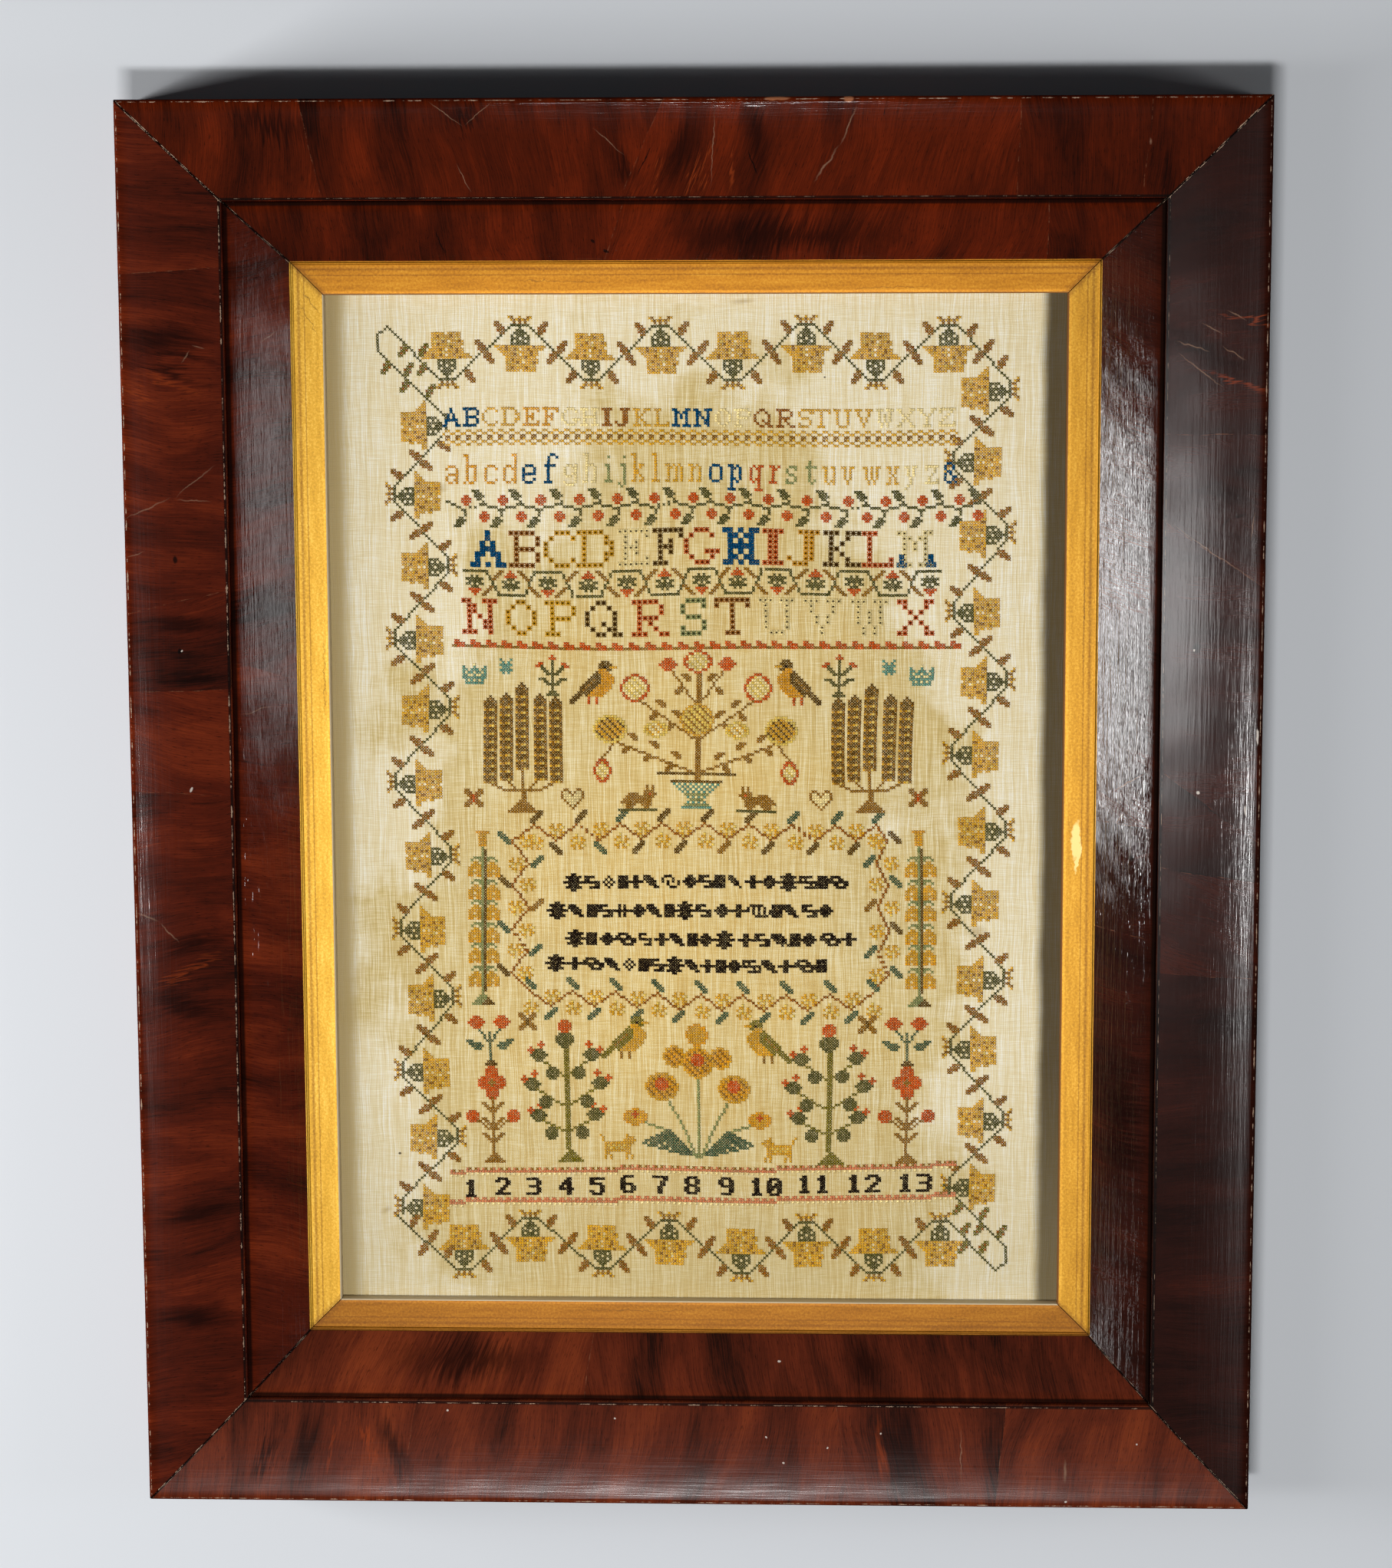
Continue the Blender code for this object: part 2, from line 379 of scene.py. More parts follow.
# %% Marks of age, laid over a colour
FLAME, EMBER, CRACK, PIT, CHIP, SPECK = (
    ("#120402", 0.75, 0.8), ("#8a3714", 0.6, 0.8), ("#93735c", 0.5, 0.8), ("#070403", 0.85, 0.4),
    ("#9c6242", 0.9, 0.3), ("#c8bdb2", 0.9, 0.3),
)
RUBBED, SCRATCH = ("#d8bd78", 0.85, 0.25), ("#5c3a12", 0.6, 0.6)


def away_from(node, axis, place):
    """How far a coordinate is from a place on its axis."""
    return node("Math ABSOLUTE", [node("Math SUBTRACT", [axis, place])])


def coats_of(node, mm, marks):
    """Marks as coats. Each ellipse is (u, v, half length, half width, lean), in mm and in degrees from the
    rail's length. The coordinates are turned and scaled to make it a unit circle."""
    coats = []
    for hex_colour, share, soft, ellipses in marks:
        shown = 0.0
        for u, v, long, wide, lean in ellipses:
            placing = [mm, (u, v, 0), (0, 0, math.radians(lean)), (long, wide, 1)]
            reach = node("VectorMath LENGTH", [node("Mapping", placing, vector_type="TEXTURE")], out=1)
            inside = node("MapRange", [reach, 1.0, 1.0 - soft, 0.0, share])
            shown = node("Math MAXIMUM", [shown, inside])
        coats.append((shown, hex_colour))
    return coats


def coated(node, colour, coats):
    """Lays coats over a colour, each one given as (how strongly it shows, its colour)."""
    for shown, coat in coats:
        colour = node("Mix", {0: shown, 6: colour, 7: coat}, out=2, data_type="RGBA")
    return colour


print("a mark is a colour, its strength and its softness, such as", FLAME)

# %% [markdown]
# ## Mahogany veneer under old french polish
#
# The bands are softwood faced with mahogany veneer laid crossband: leaves a hand's width long with the grain
# running across the moulding, butted in slightly leaning joints. Shellac polish over it gives depth and a
# mirror that has shrunk into fine ripples along the length. The wood colour is noise stretched along the
# grain and sheared by a different amount in each leaf. The ripples are bump under a coat, so the glare
# breaks up as it does on the old piece.

# %% Veneer, one material for each rail
def veneer(name, seed, joints, tones_with_painted_light, polish, crevice_dirt_and_shade, worn_and_highlit, chipped, marks):
    """Crossbanded veneer.

    joints are (place, lean) in mm along the rail, the lines u + lean * v = place, and a leaf's number is how
    many of them lie before the point. polish is the ripples' height in mm, the share of the finest ones and
    the coat's roughness. The crevice lines and the rubbed lines are (v, width) in mm: the crevices darkened
    with grime and painted shade, the edges rubbed pale, and the step's edge pale also as a painted highlight.
    chipped is the width in mm of the chips along the mitres, and marks are this rail's marks of age.
    """
    material, shader, node = finish_named(name)
    mm = millimetres(node, "across_the_grain")
    u, v = node("SeparateXYZ", [mm], slice(2))
    shaky = node("TexNoise", {"Vector": mm, "W": seed, "Scale": 1 / 25, "Detail": 2}, noise_dimensions="4D")
    unsteady = node("Math MULTIPLY_ADD", [shaky, 3.0, u])
    leaf = seam = 0.0
    for place, lean in joints:
        offset = node("Math MULTIPLY_ADD", [v, lean, unsteady])
        leaf = node("Math ADD", [leaf, node("Math GREATER_THAN", [offset, place])])
        seam = node("Math MAXIMUM", [seam, node("Math COMPARE", [offset, place, 0.2])])
    phase = node("Math MULTIPLY_ADD", [leaf, 2.4, seed])
    swing = node("Math SINE", [phase])
    lean = node("Math MULTIPLY_ADD", [swing, 0.22, 0.06])
    sheared = node("Math MULTIPLY_ADD", [v, lean, u])
    grain = node("CombineXYZ", [sheared, v, node("Math MULTIPLY", [phase, 40.0])])
    swirl = node("TexNoise", {"Vector": grain, "Scale": 1 / 60, "Detail": 1}, out=1)
    pulled = node("VectorMath MULTIPLY_ADD", [swirl, (16, 16, 0), grain])

    level = streaks(node, pulled, 22, 95, 2)
    feather = node("CombineXYZ", [streaks(node, pulled, 6, 30, 3, 0.65),
                                  streaks(node, pulled, 1.4, 30, 2, 0.6)])
    feather = node("VectorMath SUBTRACT", [feather, (0.5, 0.5, 0)])
    feathered = node("VectorMath MULTIPLY_ADD", [feather, (14, 40, 0), mm])
    rings = node("Math SINE", [node("Math MULTIPLY", [level, 75.0])])
    tone = node("Math MULTIPLY_ADD", [level, 0.85, -0.30])
    for part, share in ((streaks(node, pulled, 9, 45, 2, 0.55), 0.22),
                        (streaks(node, pulled, 3, 8, 4, 0.65), 0.16), (rings, 0.02),
                        (streaks(node, pulled, 0.6, 26, 3, 0.7), 0.56), (swing, 0.06)):
        tone = node("Math MULTIPLY_ADD", [part, share, tone])
    dark, middle, light = tones_with_painted_light
    wood = node("ValToRGB", [tone], stops=[(0.34, dark), (0.98, light), (0.63, middle)])
    figure = [mark for mark in marks if mark[:3] in (FLAME, EMBER)]
    coats = coats_of(node, feathered, figure)
    broken = node("TexNoise", {"Vector": mm, "Scale": 1 / 6, "Detail": 5, "Roughness": 0.75})
    pores = node("MapRange", [streaks(node, pulled, 0.4, 4, 1), 0.62, 0.74, 0.0, 0.7])
    seam = node("Math MULTIPLY", [seam, node("MapRange", [broken, 0.48, 0.66, 0.0, 0.5])])
    coats += [(pores, "#120502"), (seam, "#8a5a40")]

    mitre = node("Attribute", out="Fac", attribute_name="mm_to_mitre")
    # dark mitre joints; the crevices are darkened with dirt and painted shade
    for axis, place, width in [(mitre, 0.0, 0.9), *((v, *line) for line in crevice_dirt_and_shade)]:
        away = away_from(node, axis, place)
        coats.append((node("MapRange", [away, width, 0.4 * width, 0.0, 0.85]), "#0d0806"))
    # pale rubbed edges and mitre chips; the pale line along the step is also a painted highlight
    rubbed = 0.0
    for axis, place, width in [(mitre, 0.2, chipped), *((v, *line) for line in worn_and_highlit)]:
        ragged = node("MapRange", [broken, 0.5, 0.75, 0.0, width])
        here = node("Math GREATER_THAN", [ragged, away_from(node, axis, place)])
        rubbed = node("Math MAXIMUM", [rubbed, here])
    crooked = node("TexNoise", {"Vector": mm, "Scale": 1 / 5, "Detail": 3}, out=1)
    crooked = node("VectorMath MULTIPLY_ADD", [crooked, (2.4, 2.4, 0), mm])
    coats += [(rubbed, "#a08671"), *coats_of(node, crooked, [mark for mark in marks if mark not in figure])]

    height, fine, blur = polish
    ripples = node("Math MULTIPLY_ADD", [streaks(node, mm, 22, 0.8, 3, 0.6, turn=-0.05), fine,
                                         streaks(node, mm, 60, 2.2, 2, turn=0.03)])
    bump = node("Bump", {"Height": ripples, "Strength": 1.0, "Distance": height * MM})
    polish_left = node("MapRange", [v, 2.0, 6.0, 0.0, 1.0])
    fill(shader, {"Base Color": coated(node, wood, coats), "Roughness": 0.6, "Specular IOR Level": 0.0,
                  "Coat Roughness": blur, "Coat Weight": polish_left, "Coat Normal": bump})
    return material

# %% [markdown]
# Each rail was veneered from its own leaves and has aged in its own way. The tables give, side by side, the
# three tones of its wood from dark to light, where its leaves join, and how far its polish has sunk: a deep,
# coarse ripple breaks up the glare on the right, and a shallow one leaves the top almost clear. The tones of
# the bottom and left rails are lighter also by a painted sheen.

# %% Tones, joints and polish of the rails
# the wood's own tones, dark to light, with a painted sheen lightening the bottom and the left
TONES_WITH_PAINTED_SHEEN = {
    "top": ("#1c0703", "#481505", "#722409"), "left": ("#210b06", "#531b0c", "#823216"),
    "bottom": ("#230e08", "#5b2413", "#82391b"), "right": ("#180805", "#2b100a", "#44190d"),
}
JOINTS = {
    "outer": {
        "top": [(-175, -0.18), (-11, 0.43), (149, 0.02), (208, 0.07)],
        "left": [(15, 0.11), (61, 0.02), (97, -0.2), (252, -0.05)],
        "bottom": [(-140, 0.1), (-70, -0.1), (142, 0.15)],
        "right": [(-175, 0.0), (-106, 0.62), (11, 0.65), (30, 0.1), (75, 0.0)],
    },
    "inner": {"top": [(-30, 0.3), (163, 0.0)], "left": [(72, 0.3)], "bottom": [(55, 0.1)],
              "right": [(8, 0.05), (60, 0.1)]},
}
POLISH = {
    "outer": {"top": (0.04, 0.5, 0.07), "left": (0.05, 0.5, 0.12), "bottom": (0.05, 0.5, 0.2),
              "right": (0.09, 0.8, 0.18)},
    "inner": {"top": (0.1, 0.4, 0.1), "left": (0.3, 0.7, 0.08), "bottom": (0.1, 0.4, 0.1),
              "right": (0.5, 0.6, 0.06)},
}
# how much of the step's edge is pale on each side: chipped polish, and a painted highlight strongest on the
# left
STEP_CHIPS_AND_HIGHLIGHT = {"top": 0.15, "left": 0.85, "bottom": 0.45, "right": 0.2}
MITRE_CHIPS = {"top": 0.9, "left": 0.9, "bottom": 0.25, "right": 0.5}
for band, joints in JOINTS.items():
    print(band, "joints:", {side: len(places) for side, places in joints.items()})

# %% [markdown]
# The marks are placed one by one, where the real frame has them. Flames and embers are the dark and red
# figure of the wood, so their outlines are torn by the grain's own noise. Cracks, pits, chips and specks came
# later, and are only bent a little.

# %% Marks of the rails
OUTER_MARKS = {
    "top": [
        (*FLAME, [(-4, 24, 26, 8, 112), (29, 18, 22, 6, 78), (-30, 34, 12, 6, 60), (-101, 6, 13, 6, 0),
                  (-190, 12, 24, 7, 10)]),
        (*EMBER, [(1, 36, 13, 1.0, 106), (6, 32, 15, 0.8, 104), (18, 34, 12, 1.0, 95),
                  (-14, 38, 10, 0.9, 112)]),
        (*CRACK, [(-109, 8, 10, 0.35, 37), (-94, 8, 9, 0.3, -40), (-102, 38, 8, 0.3, 67),
                  (-36, 21, 10, 0.3, 42), (11, 24, 21, 0.3, 94), (72, 14, 11, 0.5, 112),
                  (62, 32, 11, 0.6, 123), (207, 22, 2, 0.7, 90)]),
        (*PIT, [(29, 31, 7, 0.35, 70), (-20, 30, 9, 0.3, 115)]),
        (*CHIP, [(40, 1.5, 6.5, 1.2, 0), (72, 2, 2.4, 1.6, 0)]),
    ],
    "left": [
        (*FLAME, [(206, 22, 23, 3, 111), (213, 27, 20, 2.4, 105), (221, 20, 24, 9, 90), (90, 25, 30, 5.5, 90),
                  (64, 25, 30, 2.6, 90), (-60, 26, 26, 6, 70), (-90, 22, 24, 7, 110), (-190, 25, 26, 9, 82),
                  (-240, 24, 24, 8, 96)]),
        (*EMBER, [(201, 20, 20, 1.4, 112), (-72, 26, 18, 2.0, 60), (196, 8, 10, 3, 150)]),
        (*CRACK, [(218, 37, 3.6, 0.4, 105), (214, 31, 4, 0.4, 37), (157, 34, 13, 0.4, 53),
                  (148, 33, 9, 0.4, 96), (145, 12, 12, 0.5, 67), (-53, 17, 7, 0.5, 140),
                  (-45, 7, 6, 0.5, 116), (124, 6, 5, 0.3, 70)]),
        (*PIT, [(79, 25, 1.6, 1.3, 0), (121, 24, 2.0, 1.2, 0)]),
        (*SPECK, [(79, 26, 0.6, 0.5, 0), (14, 29, 1.2, 0.8, 30)]),
    ],
    "bottom": [
        (*FLAME, [(186, 24, 23, 7, 104), (143, 25, 25, 6, 66), (205, 20, 18, 4, 120), (-98, 25, 30, 14, 90)]),
        (*EMBER, [(173, 24, 18, 1.2, 100), (156, 26, 20, 1.4, 62), (-88, 24, 20, 2.5, 84)]),
        (*CRACK, [(-124, 25, 14, 0.3, 90), (-173, 18, 6, 0.9, 90)]),
        (*SPECK, [(120, 44, 0.6, 0.6, 0), (40, 41, 0.5, 0.5, 0), (-32, 33, 0.7, 0.4, 30),
                  (-61, 28, 0.5, 0.5, 0), (-40, 21, 0.6, 0.5, 0), (-86, 35, 0.5, 0.5, 0),
                  (-207, 31, 0.5, 0.5, 0), (-173, 4, 0.7, 0.6, 0)]),
    ],
    "right": [
        (*FLAME, [(-215, 30, 26, 8, 120), (-150, 20, 22, 5, 100), (-160, 12, 10, 3, 90)]),
        (*EMBER, [(-200, 14, 16, 1.6, 112), (-228, 8, 14, 1.4, 105)]),
        (*CRACK, [(-229, 16, 5.5, 0.35, 120), (-223, 27, 6.4, 0.35, 118), (-212, 17, 6.5, 0.4, 120),
                  (-204, 32, 14, 0.4, 126), (-215, 36, 9, 0.4, 106), (-134, 7, 7, 0.4, 8),
                  (-121, 24, 26, 0.3, 122)]),
        (*PIT, [(-78, 32, 3.1, 2.4, 10), (-151, 30, 12, 0.4, 72), (-139, 13, 4, 0.5, 77),
                (-136, 19, 3.4, 0.5, 48), (-6, 28, 24, 0.3, 123), (27, 27, 21, 0.3, 96)]),
        (*SPECK, [(-77, 33, 0.9, 0.6, 0), (-11, 30, 0.9, 0.8, 0), (-38, 3.4, 4, 0.6, 0),
                  (-4, 8, 2.6, 0.5, 0)]),
    ],
}
INNER_MARKS = {
    "top": [(*FLAME, [(40, 18, 60, 12, 0)]),
            (*PIT, [(-45, 22, 1.6, 1.0, 40), (-39, 28, 1.4, 0.9, 30), (-115, 22, 9, 0.3, 75)])],
    "left": [(*FLAME, [(98, 17, 18, 14, 90)]), (*CRACK, [(49, 12, 9, 0.4, 78), (222, 22, 6, 0.4, 60)])],
    "bottom": [(*FLAME, [(110, 18, 45, 13, 0), (-80, 18, 16, 12, 60)]), (*SPECK, [(-38, 20, 0.7, 0.6, 0)])],
    "right": [
        (*FLAME, [(-73, 4, 9, 4, 0), (150, 17, 50, 12, 0)]),
        (*PIT, [(-68, 25, 1.4, 1.2, 0), (-71, 18, 10, 0.4, 70), (22, 14, 2.2, 1.5, 40)]),
        (*CRACK, [(-13, 16, 10, 0.4, 58), (4, 20, 4, 0.4, 40)]),
    ],
}
for band, table in (("outer", OUTER_MARKS), ("inner", INNER_MARKS)):
    print(band, "marks:", {side: sum(len(mark[3]) for mark in marks) for side, marks in table.items()})

# %% [markdown]
# The eight rails differ only in their settings, so one loop makes them. The crevices, under the step on the
# outer band and along both edges of the inner one, are darkened with dirt and painted shade. The edges that
# hands and cloths reach are rubbed pale, and the pale line along the step is also a painted highlight,
# strongest on the left.

# %% Dress the rails
for number, side in enumerate(SIDES):
    finish = veneer(f"french polished mahogany outer {side}", 3 + 9 * number, JOINTS["outer"][side],
                    TONES_WITH_PAINTED_SHEEN[side], POLISH["outer"][side], [(46.8, 1.0)], [(0.8, 0.6), (46.5, STEP_CHIPS_AND_HIGHLIGHT[side])],
                    MITRE_CHIPS[side], OUTER_MARKS[side])
    rail = moulding(f"outer_rail_face_{side}", outer_section, side, 6, 0.05 * MM, finish)
    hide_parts(f"outer_rail_{side}")
    finish = veneer(f"french polished mahogany inner {side}", 50 + 9 * number, JOINTS["inner"][side],
                    TONES_WITH_PAINTED_SHEEN[side], POLISH["inner"][side], [(0.4, 1.5), (33.8, 0.5)], [(33.6, 0.25)], 0.3,
                    INNER_MARKS[side])
    rail = moulding(f"inner_rail_face_{side}", inner_section, side, 3, 0.07 * MM, finish)
    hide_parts(f"inner_rail_{side}")
print("rails done:", 2 * len(SIDES))

# %% [markdown]
# ## Gilding
#
# The slip is a thin strip with gesso, yellow bole and gold leaf under a brown size. It is ochre rather than
# bright, with soft streaks where the leaf was rubbed, and one flake on the right has come off. Its sight
# edge, the low wall over the linen, has lost its leaf: pale gesso at the left and bottom, brown at the top
# and right. A flake is an ellipse in coordinates shifted by noise, which tears its outline.

# %% Oil gilding
def oil_gilding(name, seed, tones_with_painted_light, sight_edge, marks):
    """Rubbed gold leaf over yellow bole, brown in its corners, with a bare sight edge of its own colour."""
    material, shader, node = finish_named(name)
    plain_mm = millimetres(node, "across_the_grain")
    mm = node("VectorMath ADD", [plain_mm, (seed * 900, 0, 0)])
    v = node("SeparateXYZ", [mm], out=1)
    fleck = node("TexNoise", {"Vector": mm, "Scale": 1 / 1.1, "Detail": 4, "Roughness": 0.7})
    rubbed = node("Math MULTIPLY_ADD", [streaks(node, mm, 30, 3.4, 4, 0.6), 0.6, fleck])
    dark, middle, light = tones_with_painted_light
    leaf = node("Math DIVIDE", [rubbed, 1.6])
    gold = node("ValToRGB", [leaf], stops=[(0.3, dark), (0.7, light), (0.5, middle)])
    coats = []
    mitre = node("Attribute", out="Fac", attribute_name="mm_to_mitre")
    for axis, place, width in ((mitre, 0.0, 5.0), (v, 9.5, 1.6), (v, 12.2, 0.7)):
        ragged = node("Math MULTIPLY_ADD", [fleck, width, away_from(node, axis, place)])
        coats.append((node("MapRange", [ragged, 1.2 * width, 0.3 * width, 0.0, 0.75]), "#6b3d0c"))
    torn = node("TexNoise", {"Vector": plain_mm, "Scale": 1 / 2.5, "Detail": 4}, out=1)
    torn = node("VectorMath MULTIPLY_ADD", [torn, (6, 3.4, 0), plain_mm])
    gesso = node("Math GREATER_THAN", [v, 20.6])
    coats += [*coats_of(node, torn, marks), (gesso, sight_edge)]
    bump = node("Bump", {"Height": rubbed, "Strength": 0.4, "Distance": 0.04 * MM})
    metal = node("MapRange", [gesso, 0.0, 1.0, 0.45, 0.0])
    fill(shader, {"Base Color": coated(node, gold, coats), "Metallic": metal, "Normal": bump,
                  "Specular IOR Level": 0.2, "Roughness": 0.45})
    return material

# %% [markdown]
# Each strip has its own three tones of gold, from dark to light, and these are painted light: the left and
# right strips lighter, the one at the foot the darkest. Thin scratches have filled with dirt.

# %% Gilt slips
# painted light: each slip's gold is lighter or darker as the lamps fall on its side
GOLDS_WITH_PAINTED_LIGHT = {
    "top": ("#87520e", "#b07214", "#c88f2a"), "left": ("#9c7222", "#c6952c", "#e2ba57"),
    "bottom": ("#6b400a", "#8e5810", "#a6711e"), "right": ("#8a5e19", "#b4801f", "#d2a33e"),
}
SIGHT_EDGES = {"top": "#8a5a24", "left": "#c9b896", "bottom": "#c9b896", "right": "#7c4d1e"}
GOLD_MARKS = {
    "top": [(*SCRATCH, [(-57, 17, 30, 0.25, 1), (93, 20, 22, 0.25, -1)])],
    "left": [(*SCRATCH, [(239, 17, 9, 0.4, -40), (231, 16, 12, 0.3, -30), (63, 20, 26, 0.25, 0)])],
    "bottom": [(*SCRATCH, [(33, 18, 40, 0.25, 0), (-117, 15, 16, 0.25, 1)])],
    "right": [(*RUBBED, [(18, 16.6, 10, 2.2, 4), (26, 15.6, 8, 1.1, 8)]),
              (*SCRATCH, [(-87, 14, 34, 0.25, 1)])],
}
for number, side in enumerate(SIDES):
    finish = oil_gilding(f"rubbed gold leaf {side}", 1 + number, GOLDS_WITH_PAINTED_LIGHT[side], SIGHT_EDGES[side],
                         GOLD_MARKS[side])
    slip = moulding(f"gilt_slip_face_{side}", slip_section, side, 1, 0.04 * MM, finish)
    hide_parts(f"gilt_slip_{side}")
print("slips done:", len(SIDES))

# %% [markdown]
# ## Back board
#
# Behind the linen lies a thin board of planed pine, out of sight from the front. The solid piece is already
# its shape, so it keeps its mesh and gets a finish only: growth rings drawn out along the board, and matt,
# as bare wood is.

# %% Back board
material, shader, node = finish_named("planed pine board")
grain = node("Mapping", {"Vector": node("TexCoord", out="Object"), "Scale": (180, 6, 60)})
rings = node("TexNoise", {"Vector": grain, "Scale": 1.0, "Detail": 4})
wood = node("ValToRGB", [rings], stops=[(0.3, "#8a6238"), (0.7, "#b98d58")])
fill(shader, {"Base Color": wood, "Roughness": 0.7})
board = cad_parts["back_board"].data
board.materials.clear()
board.materials.append(material)
print("back board finished")

# %% [markdown]
# ## Linen
#
# The ground is a plain weave of handspun thread, 16 threads to the centimetre, so a thread is 0.62 mm wide.
# The spinning was uneven: thick threads show as pale upright streaks, a hand's breadth long. Age has left it
# yellower in the middle and faintly blotched. Painted shade darkens it towards the foot and the left, and in
# a dark strip along the left and right slips. The weave is a bump map of its real pitch.

# %% Linen finish
THREAD_PITCH = 1.25 / 2
# the painted shade along the left and right slips: side, width and half the blur in mm, and colour
PAINTED_SHADE_BY_SLIPS = ((-1, 8.0, 3.6, "#b09a69"), (1, 10.0, 3.0, "#392907"))
# painted shade at the foot, dark specks and brown stains, as marks in mm from the linen's middle
STAINS_AND_FOOT_SHADE = (
    # painted shade over the foot
    ("#a3946c", 0.4, 0.9, [(0, -262, 420, 150, 0)]),
    ("#3b2c1c", 0.9, 0.4, [(-143, -169, 0.9, 0.7, 0), (146, -203, 1.0, 0.7, 0), (60, 201, 0.6, 0.5, 0)]),
    ("#a98c53", 0.55, 0.9, [(-150, -197, 4, 2, 30), (22, 236, 7, 1.6, 5), (-120, 150, 5, 3, 0),
                            (132, -60, 6, 4, 0)]),
)


def linen():
    """Handwoven linen in object millimetres: threads, slubs and blotches, fine to broad, and painted shade by
    the slips, at the foot and to the left.
    """
    material, shader, node = finish_named("handwoven linen")
    mm = millimetres(node)
    sway = node("TexNoise", {"Vector": mm, "Scale": 1 / 30, "Detail": 2}, out=1)
    swayed = node("VectorMath MULTIPLY_ADD", [sway, (3, 3, 0), mm])
    waves = [node("Math SINE", [node("Math MULTIPLY", [axis, math.pi / THREAD_PITCH])])
             for axis in node("SeparateXYZ", [swayed], slice(2))]
    threads = node("Math ABSOLUTE", [node("Math MULTIPLY", waves)])
    slubs = streaks(node, swayed, 0.45, 26, 2, 0.7)
    wefts = streaks(node, swayed, 9, 0.45, 2, 0.7)
    spun = node("Math MULTIPLY_ADD", [wefts, 0.45, slubs])

    blotch = node("TexNoise", {"Vector": mm, "Scale": 1 / 55, "Detail": 4, "Roughness": 0.55})
    x, y = node("SeparateXYZ", [mm], slice(2))
    spread = node("CombineXYZ", [node("Math MULTIPLY", [x, 1 / 230]), node("Math MULTIPLY", [y, 1 / 480])])
    age = node("Math MULTIPLY_ADD", [blotch, 0.8, node("VectorMath LENGTH", [spread], out=1)])
    # painted shade: the ground darkens towards the left and the foot
    for axis, slope in ((x, 0.0003), (y, 0.0007)):
        age = node("Math MULTIPLY_ADD", [axis, slope, age])
    ground = node("ValToRGB", [age], stops=[(0.45, "#dcc189"), (1.2, "#ecdfc2"), (0.91, "#d3c093")])
    streaked = node("MapRange", [spun, 0.55, 0.90, 0.0, 1.0])
    lit = node("ValToRGB", [streaked], stops=[(0.0, "#8f7f5a"), (1.0, "#ffffff"), (0.5, "#cfc4a6")])
    colour = node("Mix", {0: 0.95, 6: ground, 7: lit}, out=2, data_type="RGBA", blend_type="SOFT_LIGHT")
    coats = [(node("MapRange", [threads, 0.0, 0.45, 0.35, 0.0]), "#a58f63")]
    # painted shade: a dark strip on the linen along the left and right slips, its inner edge waved by the
    # blotches
    for side, width, soft, shade in PAINTED_SHADE_BY_SLIPS:
        wavy = node("Math MULTIPLY_ADD", [blotch, 4.0, -2.0])
        inward = node("Math MULTIPLY_ADD", [x, -side, wavy])
        sight = -1000 * HALF_WIDTH + 1000 * OPENING_INSET
        coats.append((node("MapRange", [inward, sight + width + soft, sight + width - soft, 0.0, 0.92],
                           interpolation_type="SMOOTHSTEP"), shade))
    coats += coats_of(node, node("CombineXYZ", [x, y]), STAINS_AND_FOOT_SHADE)

    relief = node("Math MULTIPLY_ADD", [spun, 1.4, threads])
    bump = node("Bump", {"Height": relief, "Strength": 0.7, "Distance": 0.12 * MM})
    fill(shader, {"Base Color": coated(node, colour, coats), "Normal": bump, "Roughness": 0.92,
                  "Specular IOR Level": 0.2})
    return material


print("a thread every", THREAD_PITCH, "mm, and", len(STAINS_AND_FOOT_SHADE), "kinds of stain")

# %% [markdown]
# The sheet itself is a closed slab, stretched over the board, whose face rises and falls by a few hundredths
# of a millimetre. The same height is asked for again when the stitches are laid on it, so they follow it.

# %% Linen ground
CLOTH_LOW, CLOTH_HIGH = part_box("sampler_cloth")
CLOTH_GRID = (96, 130)


def linen_height(x, y):
    """How high the linen's face lies, with its slow unevenness."""
    return CLOTH_HIGH.z - 0.05 * MM + rolling(x, y, 0.04 * MM, (0.02, 0.08), 5)


x, y = np.meshgrid(*(np.linspace(low, high, count) for low, high, count
                     in zip(CLOTH_LOW[:2], CLOTH_HIGH[:2], CLOTH_GRID)), indexing="ij")
face = np.stack([x, y, linen_height(x, y)], 2)
underside = np.stack([x, y, np.full_like(x, CLOTH_LOW.z)], 2)
ring = np.concatenate([face, underside[:, ::-1]], 1)
cloth = closed_skin("linen_ground", ring, np.zeros((CLOTH_GRID[0], 2 * CLOTH_GRID[1] + 1, 2)), linen())
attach(cloth, "root")
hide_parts("sampler_cloth")

# %% [markdown]
# ## Charting the needlework
#
# A stitcher works from a chart: each square is one cross over two threads of the linen, 1.25 mm. Here the
# chart is a dictionary from a square's (column, row) to the letter of its thread, with (0, 0) in the middle
# and rows counted downwards. Motifs are drawn as text, one character a square, with "/" between rows, "."
# where the linen is bare and "*3" after a row that is worked three times. A motif can be stamped mirrored,
# upside down or on its side, so one flower serves the whole border.

# %% Stamp, line and letter helpers
chart = {}
eyelets = {}


def rows_of(motif):
    """A motif's rows. A row that ends in *n is worked n times."""
    rows = []
    for row in motif.split("/"):
        line, _, times = row.partition("*")
        rows += [line] * int(times or 1)
    return rows


def cell(column, row, thread):
    """Works one cross at the nearest square."""
    chart[(round(column), round(row))] = thread


